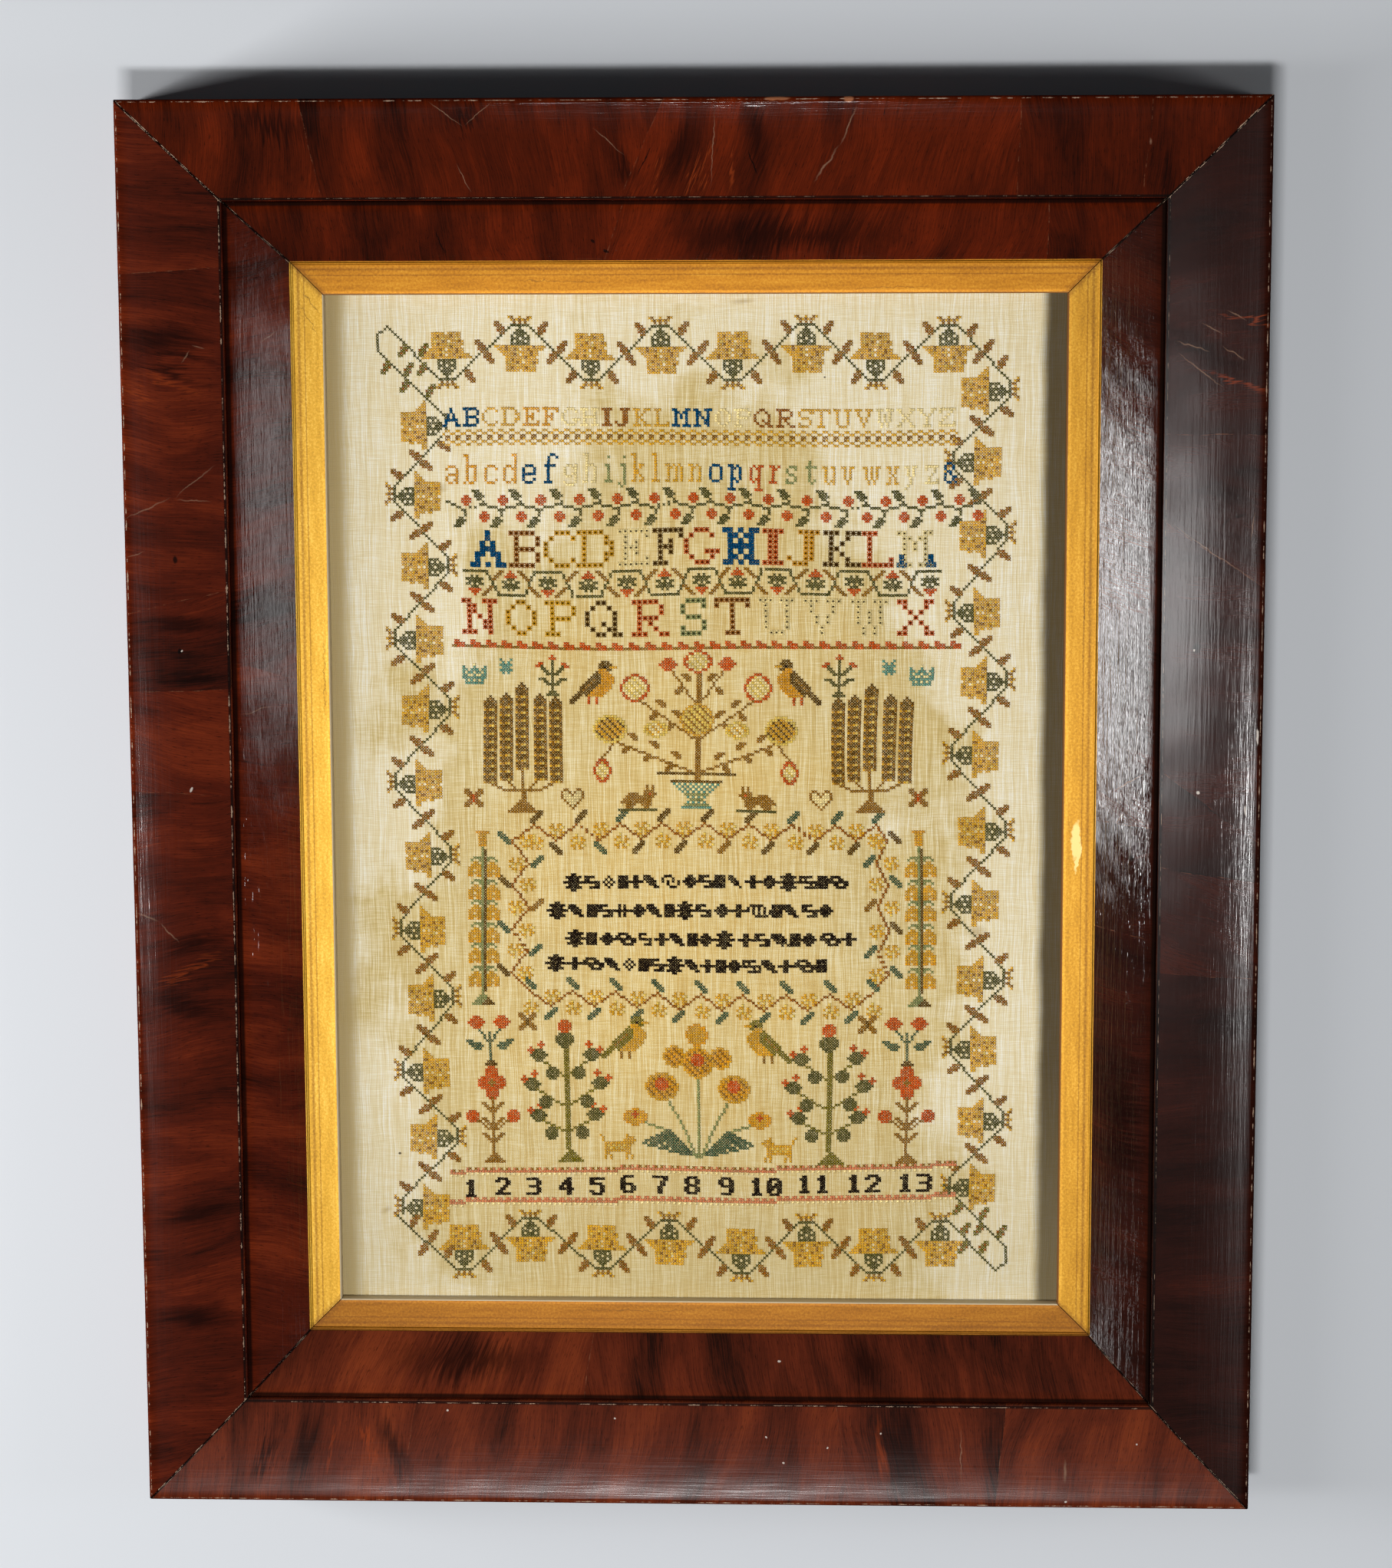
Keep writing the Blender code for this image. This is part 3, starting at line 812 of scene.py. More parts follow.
def stamp(motif, column, row, mirror=False, flip=False, turned=False, threads=None):
    """Works a motif centred on a cell. mirror swaps left and right, flip swaps top and bottom, turned swaps
    rows and columns, and threads gives a letter of the motif another thread."""
    rows = rows_of(motif)
    column, row = round(column), round(row)
    if turned:
        rows = ["".join(line) for line in zip(*rows)]
    rows = rows[::-1] if flip else rows
    high, wide = len(rows), len(rows[0])
    for j, line in enumerate(rows):
        for i, mark in enumerate(line[::-1] if mirror else line):
            if mark != ".":
                cell(column + i - (wide - 1) // 2, row + j - (high - 1) // 2, (threads or {}).get(mark, mark))


def run(thread, *corners):
    """Single crosses along straight lines from corner to corner."""
    for (c0, r0), (c1, r1) in zip(corners, corners[1:]):
        n = max(abs(c1 - c0), abs(r1 - r0), 1)
        for k in range(int(n) + 1):
            cell(c0 + (c1 - c0) * k / n, r0 + (r1 - r0) * k / n, thread)


def spaced(items, widths, first, last):
    """Spreads items of these widths from column first to last, and gives each with its left column."""
    space = (last - first - sum(widths)) / (len(widths) - 1)
    left = first
    for item, wide in zip(items, widths):
        yield left, item
        left += wide + space


print("a chart of", rows_of("t.t/.t.*2"), "has its middle row twice")

# %% [markdown]
# ## Border
#
# A zigzag vine runs round the field, with a basket-shaped flower in every bend and leaves on the slopes. The
# bends aren't evenly spaced, because they were counted as the work went on. So each side is a short list of
# where its bends lie and which of them reach the outer line, and one function works a side from its list.

# %% Border flowers and the places of the bends
TULIP = (
    "....ttttt.ttttt..../....ttbttttbttt..../....ttttyttttyt..../....tyttbt.tttbt..../....ttbtttyttttt..../"
    "....tttttttbttt..../...ttttbt.tttbtt.../..ttttttyttttbtt../.tttbttbt.ttbttttt./ttttbtttttttttbtttt/"
    "......ggggggg....../......g.ggg.g....../......ggg.ggg....../......g.ggg.g....../.......ggggg......./"
    "........ggg......../.........g........."
)
CROWNLET = "tb..t..bt/.tbtbtbt./..b.b.b.."
LEAF = "bb../brb./.bbr/.rbb/..bb"
SWING = 20
BORDER = {
    "top": (-180, 1, [(-92, 0), (-65, 1), (-39, 0), (-12, 1), (14, 0), (41, 1), (67, 0), (94, 1)]),
    "bottom": (181, -1, [(-90, 1), (-65, 0), (-37, 1), (-11, 0), (16, 1), (42, 0), (68, 1), (93, 0)]),
    "left": (-113, -1, [(-144, 0), (-118, 1), (-91, 0), (-63, 1), (-37, 0), (-9, 1), (19, 0), (48, 1),
                        (74, 0), (102, 1), (128, 0), (156, 1)]),
    "right": (116, 1, [(-156, 1), (-130, 0), (-103, 1), (-74, 0), (-48, 1), (-20, 0), (9, 1), (37, 0),
                       (66, 1), (93, 0), (121, 1), (147, 0)]),
}
print("bends:", {side: len(bends) for side, (_, _, bends) in BORDER.items()})

# %% [markdown]
# A slope of the vine is a straight run with leaves set square to it, and a bend is a short flat run with a
# flower inside and a small crown behind it. Upright sides are the same work with columns and rows exchanged.
# The vine starts and ends in an open loop.

# %% Work the border
def leafy(start, end, leaves, turned=False, thread="b"):
    """A slope of the vine from cell to cell. leaves are (share of the way, side) and stand square to it, and
    side 1 is its left."""
    run("g", start, end)
    (c0, r0), (c1, r1) = start, end
    for share, side in leaves:
        across, down = side * np.sign(r1 - r0), -side * np.sign(c1 - c0)
        column = c0 + (c1 - c0) * share + across * (2.3 if turned else 1.8)
        row = r0 + (r1 - r0) * share + down * (1.8 if turned else 2.3)
        stamp(LEAF, column, row, mirror=across > 0, flip=down > 0, turned=turned, threads={"b": thread})


def border_side(side):
    """One side's vine: flat bends, a tulip in each and a crownlet behind it, and leaves on the slopes."""
    outer, outside, bends = BORDER[side]
    sideways = side in ("left", "right")
    swap = "mirror" if sideways else "flip"
    levels = [outer if out else outer - math.copysign(SWING, outer) for _, out in bends]

    def at(along, level):
        return (level, along) if sideways else (along, level)

    for (a0, out0), (a1, _), level0, level1 in zip(bends, bends[1:], levels, levels[1:]):
        first = outside if out0 else -outside
        leafy(at(a0 + 3, level0), at(a1 - 3, level1), [(0.16, first), (0.5, 1), (0.5, -1), (0.84, -first)],
              sideways)
    for (along, out), level in zip(bends, levels):
        run("g", at(along - 3, level), at(along + 3, level))
        low = (outer < 0) != bool(out)
        inward = -1 if low else 1
        stamp(TULIP, *at(along, level + 9 * inward), turned=sideways, **{swap: not low})
        if (side, along) != ("left", -144):
            stamp(CROWNLET, *at(along, level - 2 * inward), turned=sideways, **{swap: low})


for side in BORDER:
    border_side(side)
for s in (-1, 1):
    # the vine's two open loops, at the upper left and the lower right corner
    leafy((95 * s, 160 * s), (114 * s, 180 * s), [(0.3, 1), (0.42, -1), (0.66, 1)], thread="G")
    run("g", (114 * s, 180 * s), (118 * s, 177 * s), (118 * s, 171 * s))
    leafy((118 * s, 171 * s), (94 * s, 147 * s), [(0.14, -1), (0.4, 1), (0.45, -1), (0.7, 1)], thread="G")
    loop_start = (-93, 181) if s > 0 else (97, -180)
    leafy(loop_start, (-115 * s, 160 * s), [(0.2, -s), (0.5, 1), (0.5, -1), (0.8, -s)])
print("border:", len(chart), "crosses")

# %% [markdown]
# ## Alphabets
#
# Samplers were practice for marking linen, so three plain alphabets come first: small capitals, small
# letters, and large capitals. A letter is charted once. In the large ones a mark is a block of two squares
# by two, which is either four crosses or an eyelet, a ring of stitches pulled open around a hole.

# %% Letter charts
CAPS = dict(
    A="...#...*2/..#.#..*2/.#####./.#...#./##...##", B="#####./.#...#*2/.####./.#...#*2/#####.",
    C="..###./.#...#/#.....*3/.#...#/..###.", D="#####../.#...#./.#...##/.#....#/.#...##/.#...#./#####..",
    E="######/.#...#/.#.#../.###../.#.#../.#...#/######",
    F="######/.#...#/.#.#../.###../.#.#../.#..../###...",
    G="..###../.#...#./#......*2/#...###/.#...#./..###..", H="###.###/.#...#.*2/.#####./.#...#.*2/###.###",
    I="####/.##.*5/####", J="..####/...##.*4/#..##./.###..",
    K="###.###/.#..#../.#.#.../.##..../.#.#.../.#..#../###.###", L="###.../.#....*4/.#...#/######",
    M="##...##/.##.##./.#.#.#.*2/.#...#.*2/###.###", N="##..###/.##..#.*2/.#.#.#./.#..##.*2/###..#.",
    O="..##../.#..#./#....#*3/.#..#./..##..", P="#####./.#...#*2/.####./.#....*2/###...",
    Q="..##.../.#..#../#....#.*2/#..#.#./.#..##./..##.##",
    R="#####../.#...#.*2/.####../.#.#.../.#..#../###..##", S=".####/#...#/#..../.###./....#/#...#/####.",
    T="#######/#..#..#/...#...*4/..###..", U="###.###/.#...#.*5/..###..",
    V="###.###/.#...#.*2/..#.#..*2/...#...*2", W="###.###/.#...#./.#.#.#.*3/..#.#..*2",
    X="##...##/.#...#./..#.#../...#.../..#.#../.#...#./##...##",
    Y="##...##/.#...#./..#.#../...#...*3/..###..", Z="######/#...#./...#../..#.../.#..../#....#/######",
)
# a small letter is (rows above the line, chart)
SMALL = dict(
    a=(7, ".###./#...#/....#/.####/#...#/#..##/.##.#"), b=(11, "##.../.#...*3/.####/.#..#*5/#.##."),
    c=(7, ".###./#...#/#....*3/#...#/.###."), d=(11, "...##/....#*3/.##.#/#..##/#...#*3/#..##/.##.#"),
    e=(7, ".###./#...#*2/#####/#..../#...#/.###."), f=(11, "..##./.#..#/.#...*2/####./.#...*5/###.."),
    g=(7, ".##.#/#..##/#...#/#..##/.##.#/....#/#...#/.###."), h=(11, "##.../.#...*3/.###./.#..#*5/##.##"),
    i=(10, ".#./...*2/##./.#.*5/###"), j=(10, "..#/...*2/.##/..#*6/#.#/.#."),
    k=(11, "##.../.#...*3/.#.##/.#.#./.##..*2/.#.#./.#..#/##.##"), l=(11, "##./.#.*9/###"),
    m=(7, "##.#.#./.##.#.#/.#..#.#*4/##.##.#"), n=(7, "##.#./.##.#/.#..#*4/##.##"),
    o=(7, ".###./#...#*5/.###."), p=(7, "##.#./.##.#/.#..#*3/.##.#/.#.#./.#...*2/###.."),
    q=(7, ".#.##/#.##./#..#.*3/#.##./.#.#./...#.*2/..###"), r=(7, "##.#/.##./.#..*4/###."),
    s=(7, ".###/#..#/#.../.##./...#/#..#/###."), t=(9, ".#..*2/####/.#..*4/.#.#/..#."),
    u=(7, "##.##/.#..#*4/.#.##/..#.#"), v=(7, "##.##/.#.#.*4/..#..*2"), w=(7, "##.#.##/.#.#.#.*4/..#.#..*2"),
    x=(7, "##.##/.#.#.*2/..#../.#.#.*2/##.##"), y=(7, "##.##/.#.#.*3/..#..*3/.#.../#...."),
    z=(7, "#####/#..#./...#./..#../.#.../.#..#/#####"),
)
SMALL["&"] = (8, ".##../#..#.*2/.##../#.#../#..##/#..#./.##.#")
print(len(CAPS), "capitals and", len(SMALL), "small letters, with the ampersand")

# %% [markdown]
# A row of letters is spread evenly between two columns, and a second string names each letter's thread. Two
# of the large capitals, A and H, are heavier letters of their own, in solid crosses of indigo.

# %% Work the alphabets
def lettering(letters, threads, first, last, base, block=1, solid=""):
    """Spreads letters from column first to last over a base row. block is the cells a mark covers: 1 for a
    cross, 2 for an eyelet, or for four crosses where the thread is one of the solid ones."""
    charts = [SMALL[x] if x in SMALL else (7, CAPS[x]) for x in letters]
    charts = [(above, rows_of(motif)) for above, motif in charts]
    widths = [block * len(rows[0]) for _, rows in charts]
    for left, (thread, (above, rows)) in spaced(zip(threads, charts), widths, first, last):
        for j, line in enumerate(rows):
            for i, mark in enumerate(line):
                column, row = round(left) + block * i, base - block * (above - 1 - j)
                if mark == "#" and block == 1:
                    cell(column, row, thread)
                elif mark == "#" and thread in solid:
                    stamp("##*2", column, row, threads={"#": thread})
                elif mark == "#":
                    eyelets[(column, row)] = thread


lettering("ABCDEFGHIJKLMNOPQRSTUVWXYZ", "llttaaccrrttllccrrttttcccc", -94, 97, -143)
lettering("abcdefghijklmnopqrstuvwxyz&", "aaaallccssoottllppssttttccl", -93, 98, -122)
CAPS["solid A"] = "...#...*2/..#.#../..###../.##.##./.#...#./##.#.##"
CAPS["solid H"] = "##.#.##/.##.##./.#.#.#./.#####./.#.#.#./.##.##./##.#.##"
lettering(["solid A", *"BCDEFG", "solid H", *"IJKLM"], "lroockplpakpc", -84, 89, -92, 2, "l")
for c in (76, 87):
    stamp(".ll.*3/llll*2", c, -93)
lettering("NOPQRSTUVWX", "potkpsrcccp", -88, 89, -66, 2, "l")
print("with the alphabets:", len(chart), "crosses and", len(eyelets), "eyelets")

# %% [markdown]
# ## Bands
#
# Narrow bands part the alphabets: linked diamonds, a stem of berries, posies that hang and stand by turns,
# and a line of small waves. Each is one repeat, stamped along the row by a loop, with stems run between the
# repeats.

# %% Bands
REPEAT = 14.2
for c in range(-93, 98, 4):
    stamp(".tt./t..t/.bb./.bt./t..t/.tt.", c, -139)
BERRY = ".pp./pppp*2/.pp."
SPRAY = "ggg../.ggg./.gggg/..gg./....g*2"
run("g", (-93, -115), (-86.5, -112))
for k in range(14):
    low, high = -86.5 + REPEAT * k, -79.4 + REPEAT * k
    run("g", (low, -112), (high, -114))
    if k < 13:
        run("g", (high, -114), (low + REPEAT, -112))
    stamp(BERRY, low, -116)
    stamp(BERRY, high, -110)
    stamp(SPRAY, high - 1.4, -117)
    stamp(SPRAY, low - 1.4, -109, flip=True)
POSY = "..g.g../ggggggg/.ggggg./gg.g.gg/..ggg../.ppppp./..ppp../...p..."
for k in range(13):
    middle, hung = -83 + REPEAT * k, k % 2 == 0
    flat, other, down = (-89, -80, 1) if hung else (-80, -89, -1)
    run("g", (middle - 4, flat), (middle + 4, flat))
    stamp(POSY, middle, -84 if hung else -86, flip=not hung)
    if k < 12:
        run("g", (middle + 5, flat), (middle + 9, other))
        for start, end in ((7, 10), (8, 11)):
            run("b", (middle + start, flat + 3 * down), (middle + end, flat))
        for start, end in ((4, 7), (3, 6)):
            run("b", (middle + start, other), (middle + end, other - 3 * down))
run("b", (-92, -60), (98, -60))
for c in range(-90, 97, 6):
    stamp("pp../pppp/.ppp", c, -61)
print("with the bands:", len(chart), "crosses")

# %% [markdown]
# ## Leafy surround and slim trees
#
# A zigzag stem goes round the middle field, with slanting leaves and small gold florets by turns at its
# points. Its four sides have their own spacing, so each is a row of points worked out first, and the leaves
# are stamped from them. A slim tree hung with bells stands on either side.

# %% Leafy surround and slim trees
OBLIQUE = "...ee/..eee/.eee./eee../ee..."
FLORET = ".o.oo./oo.o.y/.yoyo./o.y.oo/.oo.o./..y..."
top = [(-69.8 + 8.1 * k, (13, 7)[k % 2]) for k in range(18)]
far_right = [((72, 68)[k % 2], 13 + 8.7 * k) for k in range(7)]
low = [(66 - 8.06 * k, (72, 78)[k % 2]) for k in range(17)]
far_left = [((-70, -64)[k % 2], 65.2 - 8.7 * k) for k in range(7)]
run("r", *top, *far_right, *low, *far_left)
for k, (c, r) in enumerate(top[1:], 1):
    up = k % 2
    stamp(OBLIQUE, c + 2 * up - 1 + (k < 6) * (1 - up), r - 3 if up else r + 3, mirror=k < 6 and not up,
          threads={"e": "e" if k in (5, 4, 13, 15, 17) else "kb"[k % 5 == 0]})
    stamp(FLORET, c, r + 6 if up else r - 4, flip=bool(up))
for k, (c, r) in enumerate(low):
    up = k % 2 == 0
    stamp(OBLIQUE, c, r - 3 if up else r + 3, mirror=up)
    stamp(FLORET, c, r + 6 if up else r - 4, flip=up)
for points, outward in ((far_right, 1), (far_left, -1)):
    for k, (c, r) in enumerate(points):
        side = outward if k % 2 == 0 else -outward
        stamp(OBLIQUE, c + 3 * side, r - 1, mirror=side * outward > 0, threads={"e": "keeb"[k % 4]})
        stamp(FLORET, c - 5 * side, r)
BELL = "..oo./.oooo/ooooo/oo.oo/ooooo/aa.aa"
for c in (-81, 84):
    run("s", (c, 16), (c, 72))
    run("k", (c + 1, 17), (c + 1, 72))
    stamp("aaaaa/.ooo.*2/.aaa./.ooo./.aaa.", c, 12)
    for r in (24 + 8.6 * k for k in range(6)):
        stamp(BELL, c - 3, r)
        stamp(BELL, c + 4, r, mirror=True)
        stamp(".sss..sss./s..s..s..s", c, r - 4)
    stamp("....s...../...sss..../..ssssk.../.sssskkk../sssskkkkk.", c, 75)
print("with the surround:", len(chart), "crosses")

# %% [markdown]
# ## Rows of ornament
#
# The middle field holds four rows of close, heavy, nearly black stitching. They are made of seven small
# ornaments in changing order, each worked twice, a square apart, which thickens its strokes.

# %% Rows of small dark ornament in the middle field
# star, knot, lozenge, hook, bar, cross and leaf (f)
ORNAMENTS = {
    "s": "...v.../.v.v.v./..vvv../vvv.vvv/..vvv../.v.v.v./...v...",
    "k": ".vvv.../v...v../v.v.v.v/..v...v/...vvv.",
    "l": "..v../.v.v./v.v.v/.v.v./..v..",
    "h": "vvv../v..../vvvvv/....v/..vvv",
    "b": "v.v/vvv/v.v/vvv/v.v",
    "c": "..v..*2/vvvvv/..v..*2",
    "f": "vv.../vvv../.vvv./..vv./....v",
}
# (row, first and last column, ornaments)
ROWS = (
    (29, -51, 56, "shlbcfklhbfclshbk"), (40, -57, 50, "sfbhclfbshlckbfhl"),
    (51, -50, 59, "sblkhcfblschfblkc"), (61, -57, 48, "sckflbhsfcblhfckb"),
)
for row, first, last, letters in ROWS:
    motifs = [ORNAMENTS[letter] for letter in letters]
    widths = [len(rows_of(motif)[0]) for motif in motifs]
    for left, (motif, wide) in spaced(zip(motifs, widths), widths, first, last):
        for stroke in (0, 1):
            stamp(motif, left + (wide - 1) // 2 + stroke, row)
print("with the rows of ornament:", len(chart), "crosses")

# %% [markdown]
# ## Lines and numerals
#
# Two toothed lines of faded madder run under the pictures, with the plain numbers from 1 to 13 between them.
# The linen is pulled a little out of square here, so lines and numbers climb by one square in every sixty.

# %% Lines and numerals
SQUARES_A_RISE = 60
for r in (141, 153):
    for c in range(-95, 99):
        row = r - round(c / SQUARES_A_RISE)
        cell(c, row, "m")
        if c % 3:
            cell(c, row - 1, "m" if r == 153 or c % 2 else "b")
        if c % 2:
            cell(c, row + 1, "c")
DIGITS = (
    ".vvv./v...v/v..vv/v.v.v/vv..v/v...v/.vvv.", "..v../.vv../..v..*4/.vvv.",
    ".vvv./v...v/....v/...v./..v../.v.../vvvvv", "vvvv./....v*2/.vvv./....v*2/vvvv.",
    "...v./..vv./.v.v./v..v./vvvvv/...v.*2", "vvvvv/v..../vvvv./....v*2/v...v/.vvv.",
    ".vvv./v....*2/vvvv./v...v*2/.vvv.", "vvvvv/....v/...v.*2/..v..*3",
    ".vvv./v...v*2/.vvv./v...v*2/.vvv.", ".vvv./v...v*2/.vvvv/....v*2/.vvv.",
)
left = -90
for number in range(1, 14):
    for digit in str(number):
        for stroke in (0, 1):
            stamp(DIGITS[int(digit)], left + 2 + stroke, 147 - round(left / SQUARES_A_RISE))
        left += 7
    left += 5.2
print("with the numbers:", len(chart), "crosses")

# %% [markdown]
# ## Pictures
#
# The pictures are those of countless samplers: a pot of flowers, birds, trees, small animals, hearts and
# crowns, all mirrored about the middle. The small ones are charts, mirrored by the stamp.

# %% Motifs of the pictures
POT = (
    "kkkkkkkkkkkkkkkkkkk/.ncncncncncncncncn./..ncncncncncncncn../...ncncncncncncn.../....ncncncncncn..../"
    ".....sssssssss...../......ncncncn....../.......sssss......./......ncncncn....../.....sssssssss...../"
    "....nnnnnnnnnnn...."
)
RABBIT = (
    "..........b.b.*2/.........bbbb./...bbbb..bbpbb/..bbbbbbbbbbb./.bbbbbbbbbbb../bbbbbbbbbbbb../"
    "c.bbbb..bbbb../..bbb....bb.../.bb.....bbb..."
)
BIRD = (
    "............kkk..../...........kkkkk.../...........kkvkooo./...........aaakk.../..........kaaaa..../"
    ".........kkkaaaa.../........kkkkaaaaa../.......kkbkkaaaaa../......kkbkkkaaaaa../.....kkbkkkaaaaa.../"
    "....kkbkkkaaaaaa.../....kbkkkaaaaaa..../...kkkkkaaaaaa...../..kkk.kaaaaaa....../.kkk...p..p......../"
    "kkk....p..p......../kk.....p..p........"
)
BUTTERFLY = "bb...bb/bbr.rbb/.brprb./..rpr../.brprb./bbr.rbb/bb...bb"
CROWN = "....c..../n...n...n/nn.nnn.nn/ncnncnncn/nnccnccnn/nnnnnnnnn/.ncncncn./.nnnnnnn."
HEART = ".bb...bb./bccb.bccb/bcccbcccb/bcccccccb/.bcccccb./..bcccb../...bcb.../....b...."
SPRIG = (
    "......p....../.....ppp...../......g....../.pp...g...pp./ppg...g...gpp/..gg..g..gg../...gg.g.gg.../"
    "....ggggg..../......g....../.ggg..g..ggg./...gg.g.gg.../....ggggg..../......g......*2/.....ggg...../"
    "....ggggg...."
)
BEE = "n...n/.n.n./nnnnn/.nnn./nnnnn/.n.n."
DOG = (
    "o.........o.../.o........ooo./.o.......ooooo/..ooooooooooo./..oyoyoyoyoo../..ooyoyoyooo../"
    "..oooooooooo../..oo......oo../..o.o.....o.o.*2"
)
print("the bird is", len(rows_of(BIRD)), "squares high and", len(rows_of(BIRD)[0]), "wide")

# %% [markdown]
# Stems are lines, round flowers are the squares inside an ellipse, and a tree is the same tier of leaves
# stamped again and again, which is quicker to read and to change than a large chart.

# %% Round flowers and spired trees
def disc(column, row, wide, high, thread, rim=None, fleck=None):
    """A round flower: the cells inside an ellipse, its outermost ones in the rim's thread and every third
    one, slantwise, in the fleck's."""
    for i in range(-wide, wide + 1):
        for j in range(-high, high + 1):
            if math.hypot(i / (wide + 0.3), j / (high + 0.3)) <= 1:
                edge = rim and math.hypot(i / (wide - 0.8), j / (high - 0.8)) > 1
                inside = fleck if fleck and (i + 2 * j) % 3 == 0 else thread
                cell(column + i, row + j, rim if edge else inside)


def discs(side, *flowers):
    """Several discs, with their columns counted to one side."""
    for column, *rest in flowers:
        disc(side * column, *rest)


# a spire is (columns from the trunk, top row, foot row)
SPIRES = ((-12, -40, -9), (-6, -41, -11), (0, -45, -16), (7, -41, -11), (13, -40, -9))


def spires(column):
    """A tree of upright spires of leaf tiers on a branched foot over a mound, tallest in the middle."""
    for across, top, foot in SPIRES:
        stamp("..k../.kbk./bkkbk", column + across, top)
        for k in range(round((foot - top) / 3)):
            stamp("kbkkb/bkkbk/oboyb", column + across, top + 3 + 3 * k)
    for s in (-1, 1):
        run("b", (column, -6), (column + 7 * s, -6), (column + 12 * s, -9))
        run("b", (column + 2 * s, -6), (column + 6 * s, -10))
    run("b", (column, -3), (column, -16))
    run("b", (column + 1, -3), (column + 1, -6))
    stamp("....bbb..../...bbbbb.../..bbbbbbb../.bbbbbbbbb./bbbbbbbbbbb", column, 0)


print("tiers of leaves in each spire:", [round((foot - top) / 3) for _, top, foot in SPIRES])

# %% [markdown]
# The upper picture is a flower pot: three tiers of branches, each with its flower, and small leaves along
# them. A rabbit sits at either side of its foot, a bird perches above, and a spired tree stands beyond. Small
# hearts, sprigs, bees, butterflies and crowns fill the ground between them.

# %% The flower pot and its company
for s in (1, -1):
    for (c0, r0), (c1, r1), thread in (((0, -12), (30, -24), "b"), ((0, -25), (21, -40), "b"),
                                       ((0, -38), (10, -52), "b"), ((30, -24), (35, -18), "b"),
                                       ((0, -12), (14, -12), "k")):
        run(thread, (s * c0, r0), (s * c1, r1))
    for c, r in ((8, -17), (16, -21), (24, -24), (8, -33), (14, -37), (5, -47)):
        stamp("bbb./.bbb/..bb", s * c, r - 2, mirror=s > 0)
        stamp(".bb./bbb./bb..", s * (c + 2), r + 3, mirror=s > 0)
    discs(s, (32, -29, 6, 5, "o", "y", "k"), (15, -29, 4, 3, "c", "y", "o"), (23, -45, 5, 5, "c", "p", "y"),
          (11, -54, 3, 2, "p"), (35, -13, 3, 4, "c", "p", "y"))
    stamp(RABBIT, s * 22, -3, mirror=s > 0)
    run("g", (s * 15, 2), (s * 29, 2))
    stamp(BIRD, s * 38, -47, mirror=s > 0)
    spires(s * 66)
    for motif, c, r in ((CROWN, 84, -50), (SPRIG, 54, -50), (HEART, 47, -3), (BUTTERFLY, 84, -3),
                        (BEE, 72, -53)):
        stamp(motif, s * c, r)
for c in (0, 1):
    run("b", (c, -50), (c, -10))
discs(1, (0, -33, 6, 6, "y", "o", "b"), (0, -55, 5, 4, "c", "p", "y"))
stamp(POT, 0, -4)
print("with the upper picture:", len(chart), "crosses")

# %% [markdown]
# The lower picture is a bush of large gold flowers between two budded trees, with a dog and a bird at either
# side of it and a tall plant of berries beyond.

# %% The bush and the budded trees
for s in (1, -1):
    for corners in (((1, 136), (6, 124), (12, 114)), ((1, 136), (12, 126), (21, 123)), ((0, 136), (0, 104))):
        run("s", *((s * c, r) for c, r in corners))
    for k in range(9):
        run("e", (s * (3 + k), 135 - k), (s * (5 + 2 * k), 135 - k // 2))
        run("e", (s * (3 + k), 134 - k), (s * (4 + 2 * k), 134 - k // 2))
    discs(s, (14, 109, 6, 5, "a", "o", "b"), (14, 108, 2, 2, "p"), (24, 121, 4, 3, "o", "a"),
          (24, 120, 1, 1, "p"), (9, 97, 4, 4, "a", "o", "b"))
    stamp(DOG, s * 31, 132, mirror=s > 0)
    stamp(BIRD, s * 27, 90, mirror=s > 0, threads={"a": "o", "k": "G", "p": "b"})
    trunk = s * 50
    for c in (trunk, trunk + 1):
        run("G", (c, 92), (c, 133))
    stamp(".....GG...../....GGGG..../...GGGGGG.../..GGGGGGGG../.GGGGGGGGGG.", trunk + 1, 136)
    for t in (1, -1):
        for foot, reach, up in ((127, 11, 6), (117, 13, 8), (106, 10, 8)):
            tip = foot - up
            run("G", (trunk, foot), (trunk + t * reach, tip))
            for across, r, *look in ((0, tip - 1, 3, 2, "g"), (-5, tip + 6, 2, 2, "g"),
                                     (3, tip - 3, 1, 1, "p"), (-1, tip - 5, 1, 1, "p")):
                disc(trunk + t * (reach + across), r, *look)
    disc(trunk, 91, 3, 3, "g")
    disc(trunk, 86, 2, 2, "p")
    plant = s * 79
    for t in (1, -1):
        disc(plant + t * 5, 84, 3, 2, "p")
        run("e", (plant, 92), (plant + t * 4, 87))
        stamp("eee..../.eeeee./..eeeee/...eee.", plant + t * 6, 92, mirror=t > 0)
        disc(plant + t * 3, 107, 2, 2, "p")
        run("b", (plant, 126), (plant + t * 7, 121))
        disc(plant + t * 8, 120, 2, 2, "p")
    run("e", (plant, 88), (plant, 98))
    stamp("..kkk../.kkkkk.", plant, 99)
    for r, reach, thread in ((103, 2, "p"), (111, 2, "p"), (107, 1, "b")):
        disc(plant, r, reach, reach, thread)
    for r in (116, 122, 128):
        stamp("bb.....bb/.bb...bb./..bb.bb../...bbb...", plant, r)
    run("b", (plant, 113), (plant, 134))
    stamp("....bb..../...bbbb.../..bbbbbb../.bbbbbbbb.", plant, 136)
    stamp(BUTTERFLY, s * 64, 84, threads={"r": "b", "p": "k"})
discs(1, (0, 99, 6, 6, "a", "o", "b"), (0, 98, 2, 2, "p"), (0, 88, 4, 4, "o", "a"))
print("with the pictures:", len(chart), "crosses")

